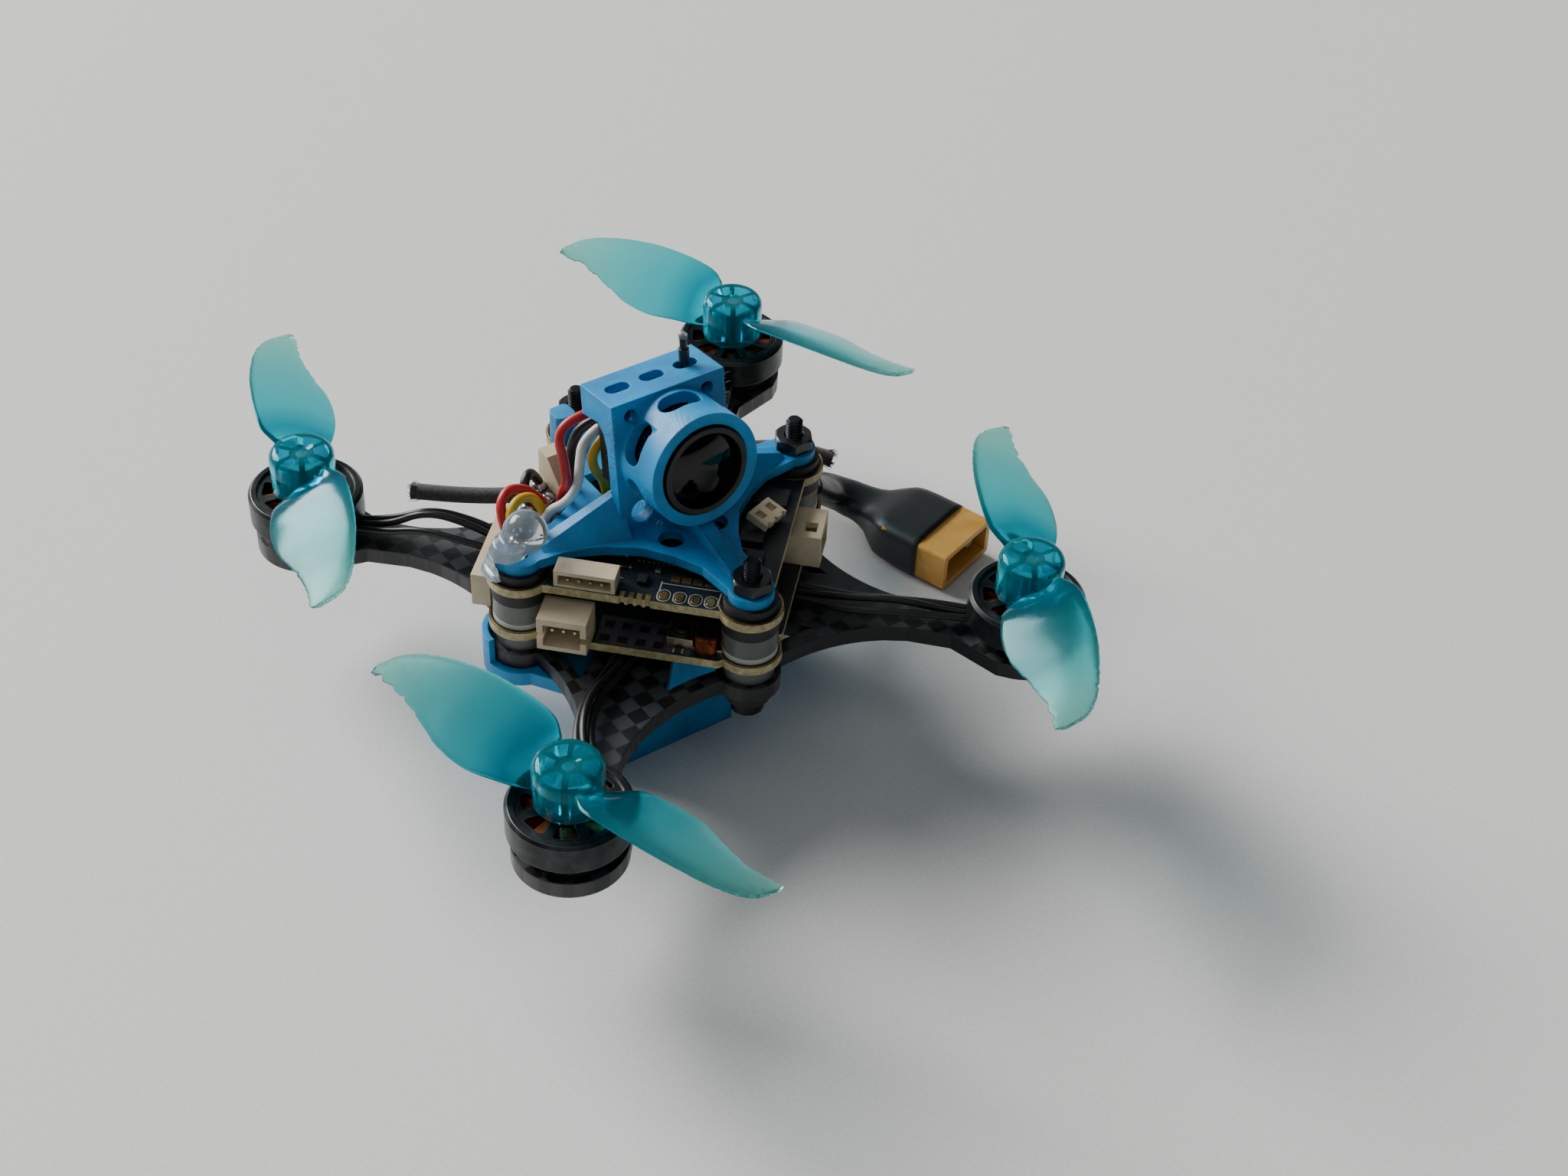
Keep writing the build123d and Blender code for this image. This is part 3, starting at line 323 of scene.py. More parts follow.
def prop_material(name, corner):
    """Clear teal plastic, deep at the hub, pale and scuffed towards the blade tips."""
    s = Shader(name, srgb(90, 190, 195), 0.14, transmission_weight=0.9, ior=1.42,
               specular_ior_level=0.14, specular_tint=srgb(70, 190, 200))
    centre = middle(f"shaft_{corner}") * MM
    moved = s.node("ShaderNodeMapping")
    moved.inputs["Location"].default_value = (-centre.x, -centre.y, 0)
    moved.inputs["Scale"].default_value = (1, 1, 0)
    s.link(s.coords, moved.inputs["Vector"])
    length = s.node("ShaderNodeVectorMath", operation="LENGTH")
    s.link(moved.outputs["Vector"], length.inputs[0])
    reach = s.math("DIVIDE", length.outputs["Value"], 0.0254)
    wobble = s.math("ADD", reach, s.spread(s.noise(140, 3), -0.07, 0.07))
    s.colour(s.ramp(wobble, (0.0, srgb(30, 226, 242)), (0.15, srgb(6, 210, 230)), (0.24, srgb(0, 158, 184)),
                    (0.4, srgb(58, 198, 210)), (0.7, srgb(98, 206, 208)), (1.0, srgb(144, 216, 206))))
    dust = s.noise(2600, 6, 0.75)
    s.rough(s.math("ADD", s.spread(wobble, 0.02, 0.24), s.spread(dust, -0.05, 0.12), True))
    s.bump(s.noise(1700, 5, 0.7), 0.12, 0.00003)
    return s.mat


def glass_like(name, colour, rough, ior, transmission):
    """Clear or cloudy see-through plastic with a slightly wavy face."""
    s = Shader(name, colour, rough, transmission_weight=transmission, ior=ior)
    s.rough(s.spread(s.noise(900, 4), max(0.0, rough - 0.04), rough + 0.08))
    s.bump(s.noise(500, 3), 0.12, 0.00006)
    return s.mat


def winding_material():
    """Enamelled copper wire wound in turns."""
    s = Shader("copper_winding", srgb(150, 72, 40), 0.3, 0.9)
    s.speckled(srgb(96, 38, 22), srgb(196, 104, 62), 900)
    turns = s.math("SINE", s.math("MULTIPLY", s.axis("Z"), 2 * pi / 0.00022))
    s.bump(turns, 0.6, 0.00005)
    return s.mat


def braid_material():
    """Woven cover of the elastic cord."""
    s = Shader("black_braid", srgb(22, 22, 23), 0.75, sheen_weight=0.4, sheen_roughness=0.5)
    weave = s.node("ShaderNodeTexVoronoi", Scale=3200.0)
    s.link(s.coords, weave.inputs["Vector"])
    s.colour(s.ramp(weave.outputs["Distance"], (0.1, srgb(44, 44, 45)), (0.7, srgb(8, 8, 9))))
    s.bump(weave.outputs["Distance"], -0.7, 0.00012)
    return s.mat


def amber_material():
    """Amber nylon of the plug: paler patches painted in for light coming through, fine mould grain."""
    s = Shader("amber_nylon", srgb(218, 158, 66), 0.38, subsurface_weight=0.25, subsurface_scale=0.001)
    s.set(subsurface_radius=(1.0, 0.5, 0.15))
    # painted light: the paler patches stand for light coming through the nylon
    s.colour(s.ramp(s.noise(260, 4), (0.3, srgb(202, 138, 48)), (0.7, srgb(232, 178, 92))))
    s.bump(s.noise(1800, 3), 0.3, 0.00003)
    return s.mat


def bell_material():
    """Dark anodised bell with fine turning marks and bright edges, partly worn bare metal and partly a
    painted highlight.
    """
    s = Shader("motor_black", srgb(56, 59, 60), 0.3, 0.9)
    # bright edges: partly worn metal, partly a painted highlight
    rubbed_and_glint = s.math("MULTIPLY", s.wear_and_highlight_edges(0.00012, 6.0), 0.6)
    tone = s.ramp(s.noise(420, 4), (0.35, srgb(38, 41, 42)), (0.7, srgb(64, 67, 68)))
    s.colour(s.mix(rubbed_and_glint, tone, srgb(150, 150, 148)))
    s.rough(s.spread(s.noise(1500), 0.24, 0.44))
    turned = s.math("SINE", s.math("MULTIPLY", s.axis("Z"), 2 * pi / 0.00009))
    s.bump(turned, 0.12, 0.000006)
    return s.mat


def make_materials():
    m = {
        "carbon": carbon_material(), "blue_print": printed_material(), "board_laminate": board_material(),
        "black_steel": metal("black_steel", srgb(52, 53, 56), 0.36).mat,
        "black_nylon": moulded("black_nylon", srgb(22, 23, 26), 0.3, coat_weight=0.3).mat,
        "black_rubber": moulded("black_rubber", srgb(26, 28, 30), 0.55).mat,
        "milky_silicone": moulded("milky_silicone", srgb(122, 126, 124), 0.34, shade=0.85,
                                  subsurface_weight=0.3, subsurface_scale=0.001,
                                  transmission_weight=0.35).mat,
        "frosted": moulded("frosted", srgb(188, 190, 184), 0.5, shade=0.85, subsurface_weight=0.4,
                           subsurface_scale=0.001).mat,
        "chip_black": moulded("chip_black", srgb(25, 26, 28), 0.42).mat,
        "lens_black": moulded("lens_black", srgb(9, 10, 12), 0.42).mat,
        "beige_nylon": moulded("beige_nylon", srgb(206, 190, 160), 0.5, shade=0.82, subsurface_weight=0.15,
                               subsurface_scale=0.0008).mat,
        "contact_metal": metal("contact_metal", srgb(206, 196, 170), 0.28).mat,
        "solder": metal("solder", srgb(206, 206, 204), 0.16).mat,
        "gold": metal("gold", srgb(214, 176, 104), 0.3).mat,
        "copper_winding": winding_material(), "black_braid": braid_material(),
        "amber_nylon": amber_material(),
        "motor_black": bell_material(),
        "stator_steel": metal("stator_steel", srgb(120, 122, 124), 0.38).mat,
        "magnet_metal": metal("magnet_metal", srgb(140, 142, 146), 0.25).mat,
        "lens_glass": glass_like("lens_glass", srgb(24, 28, 42), 0.03, 1.35, 0.9),
        "clear_glue": glass_like("clear_glue", srgb(222, 236, 244), 0.08, 1.42, 0.86),
        "clear_tip": glass_like("clear_tip", srgb(230, 236, 240), 0.12, 1.46, 0.8),
        "string_pale": moulded("string_pale", srgb(120, 186, 222), 0.4, subsurface_weight=0.3,
                               subsurface_scale=0.0005).mat,
        "shrink_black": moulded("shrink_black", srgb(34, 37, 40), 0.42, grain=1200, depth=0.00004).mat,
        "silk_white": moulded("silk_white", srgb(168, 168, 166), 0.6, shade=0.8).mat,
        # white print of the lower board, darkened as painted shade under the upper board
        "silk_painted_shade": moulded("silk_painted_shade", srgb(74, 78, 86), 0.55, shade=0.7).mat,
        "pad_brown": metal("pad_brown", srgb(120, 98, 78), 0.45).mat,
    }
    for colour, value, rough in (("red", (196, 34, 38), 0.36), ("white", (214, 211, 203), 0.4),
                                 ("yellow", (224, 178, 26), 0.38), ("black", (19, 20, 21), 0.38)):
        m[f"wire_{colour}"] = moulded(f"wire_{colour}", srgb(*value), rough, subsurface_weight=0.05,
                                      subsurface_scale=0.0005).mat
    return m


def paint_frame(materials):
    """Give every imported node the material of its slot."""
    slots = {row["node"]: row["material_slot"] for row in frame["record"]["subparts"]}
    special = {"lens_barrel": "lens_black", "camera_case": "lens_black"}
    for name, obj in frame["nodes"].items():
        key = special.get(name, slots[name])
        if key == "teal_prop":
            continue
        obj.data.materials.clear()
        obj.data.materials.append(materials[key])


# ---- small mesh and curve builders; every length is in mm ----
def finish_piece(obj, material, body):
    obj.data.materials.append(material)
    bpy.context.scene.collection.objects.link(obj)
    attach(obj, body)
    return obj


def mesh_piece(name, verts, faces, material, body=ROOT, sharp=40):
    mesh = bpy.data.meshes.new(name)
    mesh.from_pydata([Vector(v) * MM for v in verts], [], faces)
    mesh.update()
    mesh.polygons.foreach_set("use_smooth", [True] * len(mesh.polygons))
    mesh.set_sharp_from_angle(angle=radians(sharp))
    return finish_piece(bpy.data.objects.new(name, mesh), material, body)


class Soup:
    """Collects small shapes into one mesh."""

    def __init__(self):
        self.verts, self.faces = [], []

    def add(self, verts, faces):
        at = len(self.verts)
        self.verts += [tuple(v) for v in verts]
        self.faces += [tuple(at + i for i in f) for f in faces]

    def box(self, centre, size, turn):
        """A box, turned about Z; its top edges are drawn in a little."""
        cx, cy, cz = centre
        hx, hy, hz = (v / 2 for v in size)
        rows = []
        draw = min(hx, hy, hz) * 0.25
        for z, inset in ((-hz, 0), (hz - draw, 0), (hz, draw)):
            for x, y in ((-1, -1), (1, -1), (1, 1), (-1, 1)):
                rows.append(Vector((x * (hx - inset), y * (hy - inset), z)))
        spin = Matrix.Rotation(turn, 3, "Z")
        verts = [spin @ v + Vector((cx, cy, cz)) for v in rows]
        faces = [(3, 2, 1, 0), (8, 9, 10, 11)]
        for k in (0, 4):
            faces += [(k + i, k + (i + 1) % 4, k + 4 + (i + 1) % 4, k + 4 + i) for i in range(4)]
        self.add(verts, faces)

    def revolve(self, centre, profile, count, closed=False):
        """A profile of (radius, z) turned about a vertical axis."""
        cx, cy, cz = centre
        verts, faces = [], []
        for r, z in profile:
            for k in range(count):
                a = 2 * pi * k / count
                verts.append((cx + r * cos(a), cy + r * sin(a), cz + z))
        rows = len(profile)
        for i in range(rows if closed else rows - 1):
            j = (i + 1) % rows
            for k in range(count):
                n = (k + 1) % count
                faces.append((i * count + k, i * count + n, j * count + n, j * count + k))
        if not closed:
            faces.append(tuple(reversed(range(count))))
            faces.append(tuple((rows - 1) * count + k for k in range(count)))
        self.add(verts, faces)

    def hair(self, a, b, c, r):
        """A thin three-sided strand that bends from a past b to c."""
        a, b, c = Vector(a), Vector(b), Vector(c)
        steps, verts = 5, []
        for i in range(steps + 1):
            u = i / steps
            p = a * (1 - u) ** 2 + b * (2 * u * (1 - u)) + c * u ** 2
            along = ((b - a) * (1 - u) + (c - b) * u).normalized()
            side = along.orthogonal().normalized()
            for k in range(3):
                verts.append(p + (Matrix.Rotation(2 * pi * k / 3, 3, along) @ side) * (r * (1 - 0.6 * u)))
        faces = [(3 * i + k, 3 * i + (k + 1) % 3, 3 * i + 3 + (k + 1) % 3, 3 * i + 3 + k)
                 for i in range(steps) for k in range(3)]
        self.add(verts, faces + [(2, 1, 0), (3 * steps, 3 * steps + 1, 3 * steps + 2)])

    def piece(self, name, material, body=ROOT, slot=None, sharp=40):
        return mesh_piece(name, self.verts, self.faces, material, body, sharp)


def nurbs(name, points, r, material, body=ROOT, segments=6):
    """A round wire of radius r along a smooth curve pulled by the points."""
    data = bpy.data.curves.new(name, "CURVE")
    data.dimensions = "3D"
    data.bevel_depth, data.bevel_resolution, data.use_fill_caps = r * MM, segments, True
    data.resolution_u = 10
    spline = data.splines.new("NURBS")
    spline.points.add(len(points) - 1)
    for k, p in enumerate(points):
        spline.points[k].co = (p[0] * MM, p[1] * MM, p[2] * MM, 1)
    spline.order_u = 3
    spline.use_endpoint_u = True
    return finish_piece(bpy.data.objects.new(name, data), material, body)


def on_board(s, t, z):
    """A place on the boards: s runs along the front-right edge towards the nose, t out of it."""
    return ((s - t) * C45, (-s - t) * C45, z)


def arm_point(d, off, z, sx, sy):
    """A place on an arm: d along it, off to one side, z above the plate."""
    return (sx * (d - off) * C45, sy * (d + off) * C45, PLATE + z)


# ---- power lead: the two conductors follow the route of the CAD lead ----
LEAD_R, LEAD_PITCH = 1.35, 3.0
SLEEVE_THIN, SLEEVE_WIDE = (3.1, 1.75), (5.5, 3.02)      # half width and half height, at lead and plug
PLUG_YAW, PLUG_REAR, LEAD_Z = radians(-72.0), (41.0, -1.6), 3.05


def lead_middle():
    def back(d):
        return (PLUG_REAR[0] - cos(PLUG_YAW) * d, PLUG_REAR[1] - sin(PLUG_YAW) * d, LEAD_Z)
    root = LOWER + 0.02 + LEAD_R + 0.05
    return [(12.6, 6.0, root), (20.5, 6.8, root), (28.2, 10.4, PLATE - 6.0), back(16.4), back(7.3)]


def lead_route(side):
    """One conductor, half the pitch to one side of the middle line."""
    mid = [Vector(p) for p in lead_middle()]
    out = []
    for k, p in enumerate(mid):
        sides = []
        for a, b in ((k - 1, k), (k, k + 1)):
            if 0 <= a and b < len(mid):
                run = (mid[b] - mid[a]).xy.normalized()
                sides.append(Vector((-run.y, run.x)))
        normal = sum(sides, Vector((0, 0))).normalized()
        offset = normal * (side * LEAD_PITCH / 2 / normal.dot(sides[0]))
        out.append((p.x + offset.x, p.y + offset.y, p.z))
    return out


def curve_length(obj):
    """Length in metres of a curve's own line."""
    bare = obj.data.copy()
    bare.bevel_depth = 0
    probe = bpy.data.objects.new("probe", bare)
    line = bpy.data.meshes.new_from_object(probe)
    ends = [[line.vertices[i].co for i in edge.vertices] for edge in line.edges]
    total = sum((a - b).length for a, b in ends)
    bpy.data.objects.remove(probe)
    bpy.data.meshes.remove(line)
    bpy.data.curves.remove(bare)
    return total


def make_leads(m):
    sleeve = make_sleeve(m)
    for name, side in (("pos", 1), ("neg", -1)):
        route = lead_route(side)
        lead = nurbs(f"lead_{name}", route, LEAD_R, m["wire_black"], segments=10)
        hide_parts(f"power_lead_{name}")
        curve_length(lead)


def make_sleeve(m):
    """Heat-shrink drawn over the plug's back and along the two conductors, in one soft skin."""
    middle_line = nurbs("sleeve_path", lead_middle(), 0.0, m["shrink_black"])
    line = bpy.data.meshes.new_from_object(middle_line)
    path = [v.co / MM for v in line.vertices]
    bpy.data.objects.remove(middle_line)
    bpy.data.meshes.remove(line)
    forward = Vector((cos(PLUG_YAW), sin(PLUG_YAW), 0))
    mouth = Vector((PLUG_REAR[0], PLUG_REAR[1], LEAD_Z)) - forward * 0.6
    # the last part of the lead, then straight on over the plug
    stops = [p for p in path if p.x > 26.5]
    stops += [stops[-1] + forward * d for d in (0.8, 1.6, 2.6, 3.8, 5.0, 6.0)]
    stops = [p for p in stops if (p - mouth).dot(forward) < -0.1] + [mouth]
    total = sum((a - b).length for a, b in zip(stops, stops[1:]))
    verts, faces, around, run = [], [], 40, 0.0
    for i, p in enumerate(stops):
        ahead = (stops[min(i + 1, len(stops) - 1)] - stops[max(i - 1, 0)]).normalized()
        side = Vector((-ahead.y, ahead.x, 0)).normalized()
        up = ahead.cross(side)
        if up.z < 0:
            up.negate()
        run += (p - stops[i - 1]).length if i else 0.0
        left = total - run
        grow = 1 / (1 + exp((left - 8.2) * 1.1))
        half_w, half_h = (thin + (wide - thin) * grow for thin, wide in zip(SLEEVE_THIN, SLEEVE_WIDE))
        square = 2.0 + 3.5 * grow
        wrinkle = 0.05 * (1 - grow)
        for k in range(around):
            a = 2 * pi * k / around
            c, s = cos(a), sin(a)
            r = (abs(c) ** square + abs(s) ** square) ** (-1 / square)
            r *= 1 + wrinkle * noise.noise(p * 0.8 + Vector((c, s, 0)))
            verts.append(p + side * (c * r * half_w) + up * (s * r * half_h))
        if i:
            base = (i - 1) * around
            faces += [(base + k, base + (k + 1) % around, base + around + (k + 1) % around, base + around + k)
                      for k in range(around)]
    faces.append(tuple(reversed(range(around))))
    lowest = min(v.z for v in verts)
    lift = Vector((0, 0, max(0.0, 0.02 - lowest)))
    verts = [v + lift if v.z < 6.2 else v for v in verts]
    skin = mesh_piece("heat_shrink", verts, faces, m["shrink_black"], sharp=60)
    rim = skin.modifiers.new("skin", "SOLIDIFY")
    rim.thickness, rim.offset = 0.35 * MM, -1
    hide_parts("lead_sleeve")
    return skin


def frosted_rings(m):
    """The pale scuffed foot of each tall spacer."""
    rings = Soup()
    for x, y in LUGS:
        foot = ((3.12, 0.02), (3.14, 0.3), (3.13, 0.75), (3.02, 0.8), (2.9, 0.5), (2.9, 0.05))
        rings.revolve((x, y, LOWER), foot, 48, closed=True)
    rings.piece("frosted_rings", m["frosted"], slot="milky_silicone", sharp=60)


# ---- wires and the elastic cord ----
SIGNAL_R, MOTOR_WIRE_R, CORD_R = 0.55, 0.42, 0.95
HARNESS = {
    "red": [(-8.9, 6.6, 0.7), (-9.2, 6.0, 2.8), (-9.5, 3.9, 5.7), (-9.9, 4.0, 9.1),
            (-10.1, 4.8, 11.6), (-8.5, 5.2, 13.1), (-5.4, 4.9, 13.3)],
    "red_loop": [(-10.4, 8.0, 0.7), (-11.6, 7.6, 2.5), (-13.1, 7.3, 4.2), (-15.4, 7.1, 5.2),
                 (-17.2, 5.8, 3.9), (-17.0, 4.5, 1.6)],
    "white": [(-12.1, 4.7, 0.7), (-11.8, 4.5, 2.4), (-10.4, 2.9, 3.9), (-9.0, 2.5, 6.0),
              (-7.95, 3.9, 7.9), (-6.9, 4.9, 10.0), (-4.9, 4.7, 11.0)],
    "yellow": [(-3.9, 4.9, 0.7), (-4.2, 4.8, 3.2), (-5.8, 4.6, 5.6), (-6.0, 4.7, 8.2), (-4.0, 4.9, 9.4)],
    "yellow_loop": [(-11.3, 6.4, 0.7), (-12.0, 6.3, 2.6), (-13.3, 6.0, 4.1), (-15.2, 5.5, 4.6),
                    (-16.8, 4.6, 3.2), (-16.3, 3.7, 0.9)],
    "black": [(-7.3, 7.1, 0.7), (-7.5, 6.8, 4.6), (-7.4, 6.6, 8.7), (-5.9, 6.4, 10.9), (-3.6, 5.2, 11.9)],
    "black_loop": [(-9.0, 11.4, 0.7), (-9.9, 11.2, 2.6), (-11.2, 10.1, 3.4), (-12.3, 9.1, 2.3),
                   (-11.9, 8.6, 0.7)],
}


# solder drops: radius, height
WIRE_BLOB = ((1.0, 0.0), (0.95, 0.22), (0.7, 0.55), (0.45, 0.75), (0.0, 0.8))
LOOSE_BLOB = ((0.85, 0.0), (0.82, 0.25), (0.55, 0.6), (0.2, 0.72), (0.0, 0.74))


def make_harness(m):
    """Camera leads and the loops over the right-hand corner, each soldered at its foot."""
    blobs = Soup()
    for name, points in HARNESS.items():
        colour = name.split("_")[0]
        lifted = [(x, y, UPPER + z) for x, y, z in points]
        wire = nurbs(f"signal_{name}", lifted, SIGNAL_R, m[f"wire_{colour}"],
                     segments=8)
        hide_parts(f"wire_{colour}")
        both_ends = name in ("yellow_loop", "black_loop")
        for x, y, _ in (lifted[0], lifted[-1]) if both_ends else (lifted[0],):
            blobs.revolve((x, y, UPPER), WIRE_BLOB, 18)
    for x, y in ((-10.3, 9.6), (-9.3, 8.9)):
        blobs.revolve((x, y, UPPER), LOOSE_BLOB, 18)
    blobs.piece("solder_joints", m["solder"], slot="contact_metal", sharp=70)


WIRE_STYLE = {"fr": ((-2.2, 1.4), (-2.6, 2.5), (-2.9, 1.5)), "fl": ((0.9, 1.7), (1.2, 2.9), (1.6, 2.1)),
              "rr": ((-0.8, 3.4), (0.2, 4.6), (0.9, 3.6)), "rl": ((-0.6, 1.8), (0.0, 2.8), (0.7, 1.9))}


def make_motor_wires(m):
    for corner, style in WIRE_STYLE.items():
        sx, sy = CORNERS[corner][:2]
        for k in (-1, 0, 1):
            side, lift = style[k + 1]
            near = 0.95 * k
            stops = [(12.5, near, 1.1), (17.5, near + side * 0.35, 1.2),
                     (22.0, near * 1.1 + side, lift * 0.75), (27.5, near * 1.1 + side * 0.9, lift),
                     (32.2, near + side * 0.25, 1.6), (36.1, near * 0.9, 1.3)]
            points = [arm_point(d, off, z, sx, sy) for d, off, z in stops]
            wire = nurbs(f"motor_wire_{corner}_{k + 2}", points, MOTOR_WIRE_R, m["wire_black"],
                         segments=6)
            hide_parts(f"motor_wires_{corner}")


def make_elastic_cord(m):
    """Braided cord with frayed, melted ends."""
    high = level("upper_board", False) - CORD_R - 0.07
    points = [(-19.4, 22.6, PLATE + 5.5), (-13.6, 17.2, PLATE + 5.7), (-7.6, 12.4, high), (9.0, 9.2, high),
              (20.8, 5.8, high), (24.8, 1.2, high - 1.2)]
    body = nurbs("elastic_braid", points, CORD_R, m["black_braid"], segments=10)
    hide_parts("elastic_cord")
    rng = random.Random(4)
    fray = Soup()
    for tip, before in ((points[0], points[1]), (points[-1], points[-2])):
        out = (Vector(tip) - Vector(before)).normalized()
        side = out.cross(Vector((0, 0, 1))).normalized()
        for _ in range(60):
            a = rng.uniform(0, 2 * pi)
            ring = (side * cos(a) + side.cross(out) * sin(a)) * rng.uniform(0.5, 1.0)
            start = Vector(tip) + ring * 0.9 - out * rng.uniform(0.3, 1.2)
            end = Vector(tip) + ring * rng.uniform(0.9, 1.5) + out * rng.uniform(-0.3, 0.5)
            fray.hair(start, (start + end) / 2 + ring * 0.25, end, 0.06)
    fray.piece("elastic_fray", m["black_braid"], slot="black_braid", sharp=80)


# ---- propellers ----
# blade sections, measured out from the shaft: radius, trailing edge (side, height above the
# plate) and leading edge (side, height), thickness
BLADE = ((2.6, 1.3, 6.6, -2.6, 10.3, 1.5), (4.5, 2.8, 7.2, -4.2, 10.8, 1.2),
         (6.5, 3.65, 7.64, -4.85, 11.1, 1.0), (10.0, 4.0, 7.5, -5.3, 11.3, 0.85),
         (14.0, 3.4, 7.8, -5.5, 11.25, 0.75), (17.0, 2.1, 8.2, -5.35, 11.0, 0.7),
         (20.0, 0.9, 8.65, -5.0, 10.6, 0.66), (22.5, 0.3, 8.95, -4.3, 10.15, 0.6),
         (24.2, 0.15, 9.1, -3.2, 9.75, 0.56), (25.3, 0.05, 9.2, -1.3, 9.4, 0.5))
BLADE_FOOT, BLADE_TIP = 3.1, BLADE[-1][0]
HUB_LOW, HUB_TOP = PLATE + 5.85, PLATE + 11.2
HUB_R, HUB_ROUND = 3.7, 1.1
WELL_IN, WELL_OUT, WELL_ROOF = 1.45, 2.9, 1.0
BORE_R, BORE_ROOF = 0.76, 1.5


def blade_at(r):
    """Smooth section of the blade at radius r."""
    k = max(0, min(len(BLADE) - 2, sum(1 for row in BLADE if row[0] <= r) - 1))
    rows = [BLADE[max(0, min(len(BLADE) - 1, k + d))] for d in (-1, 0, 1, 2)]
    u = (r - rows[1][0]) / (rows[2][0] - rows[1][0])
    out = []
    for c in range(1, 6):
        p = [row[c] for row in rows]
        span = rows[2][0] - rows[1][0]
        m1 = (p[2] - p[0]) / max(rows[2][0] - rows[0][0], 0.1) * span
        m2 = (p[3] - p[1]) / max(rows[3][0] - rows[1][0], 0.1) * span
        out.append((2 * u ** 3 - 3 * u ** 2 + 1) * p[1] + (u ** 3 - 2 * u ** 2 + u) * m1 +
                   (3 * u ** 2 - 2 * u ** 3) * p[2] + (u ** 3 - u ** 2) * m2)
    return out


def blade_shape(seed):
    """Closed blade mesh along +X, with scuffed edges near its tip, in mm."""
    verts, faces, around = [], [], 28
    stations = [BLADE_FOOT + (BLADE_TIP - BLADE_FOOT) * k / 70 for k in range(71)] + [25.37]
    for i, r in enumerate(stations):
        t1, z1, t2, z2, thick = blade_at(min(r, BLADE_TIP))
        worn = max(0.0, (r - 12) / 13)
        nick = noise.noise(Vector((r * 1.1, seed * 7.3, 0)))
        small = noise.noise(Vector((r * 4.0, seed * 3.1, 4)))
        trail = worn * (max(0.0, nick) * 0.9 + max(0.0, small) * 0.4)
        lead = worn * max(0.0, noise.noise(Vector((r * 2.3, seed * 5.7, 9)))) * 0.4
        shrink = 0.55 if i == len(stations) - 1 else 1.0
        mid = Vector((r, (t1 + t2) / 2, PLATE + (z1 + z2) / 2))
        chord = Vector((0, t1 - t2, z1 - z2))
        normal = Vector((1, 0, 0)).cross(chord).normalized()
        for k in range(around):
            a = 2 * pi * k / around
            x, y = cos(a), sin(a)
            y *= 0.82 - 0.3 * x
            # nicks bite into the two edges only
            bite = trail * max(0.0, (x - 0.7) / 0.3) - lead * max(0.0, (-x - 0.8) / 0.2)
            x -= 2 * bite / chord.length
            camber = 0.05 * chord.length * (1 - x * x) * min(1, r / 9)
            verts.append(mid + chord * (x / 2 * shrink) + normal * (y * thick / 2 * shrink + camber * 0.5))
    for i in range(len(stations) - 1):
        for k in range(around):
            n = (k + 1) % around
            faces.append((i * around + k, i * around + n, (i + 1) * around + n, (i + 1) * around + k))
    faces.append(tuple(reversed(range(around))))
    faces.append(tuple((len(stations) - 1) * around + k for k in range(around)))
    return verts, faces


def raw_object(name, verts, faces):
    """A loose object in mm, used only to build others."""
    mesh = bpy.data.meshes.new(name)
    mesh.from_pydata([Vector(v) for v in verts], [], faces)
    bm = bmesh.new()
    bm.from_mesh(mesh)
    bmesh.ops.recalc_face_normals(bm, faces=bm.faces)
    bm.to_mesh(mesh)
    bm.free()
    obj = bpy.data.objects.new(name, mesh)
    bpy.context.scene.collection.objects.link(obj)
    return obj


def combine(base, other, operation):
    """Boolean of two loose objects; the result stays in base."""
    mod = base.modifiers.new("combine", "BOOLEAN")
    mod.operation, mod.object, mod.solver = operation, other, "EXACT"
    bpy.context.view_layer.update()
    graph = bpy.context.evaluated_depsgraph_get()
    result = bpy.data.meshes.new_from_object(base.evaluated_get(graph))
    base.modifiers.clear()
    old = base.data
    base.data = result
    bpy.data.meshes.remove(old)
    gone = other.data
    bpy.data.objects.remove(other)
    bpy.data.meshes.remove(gone)


def soup_object(name, soup):
    return raw_object(name, soup.verts, soup.faces)


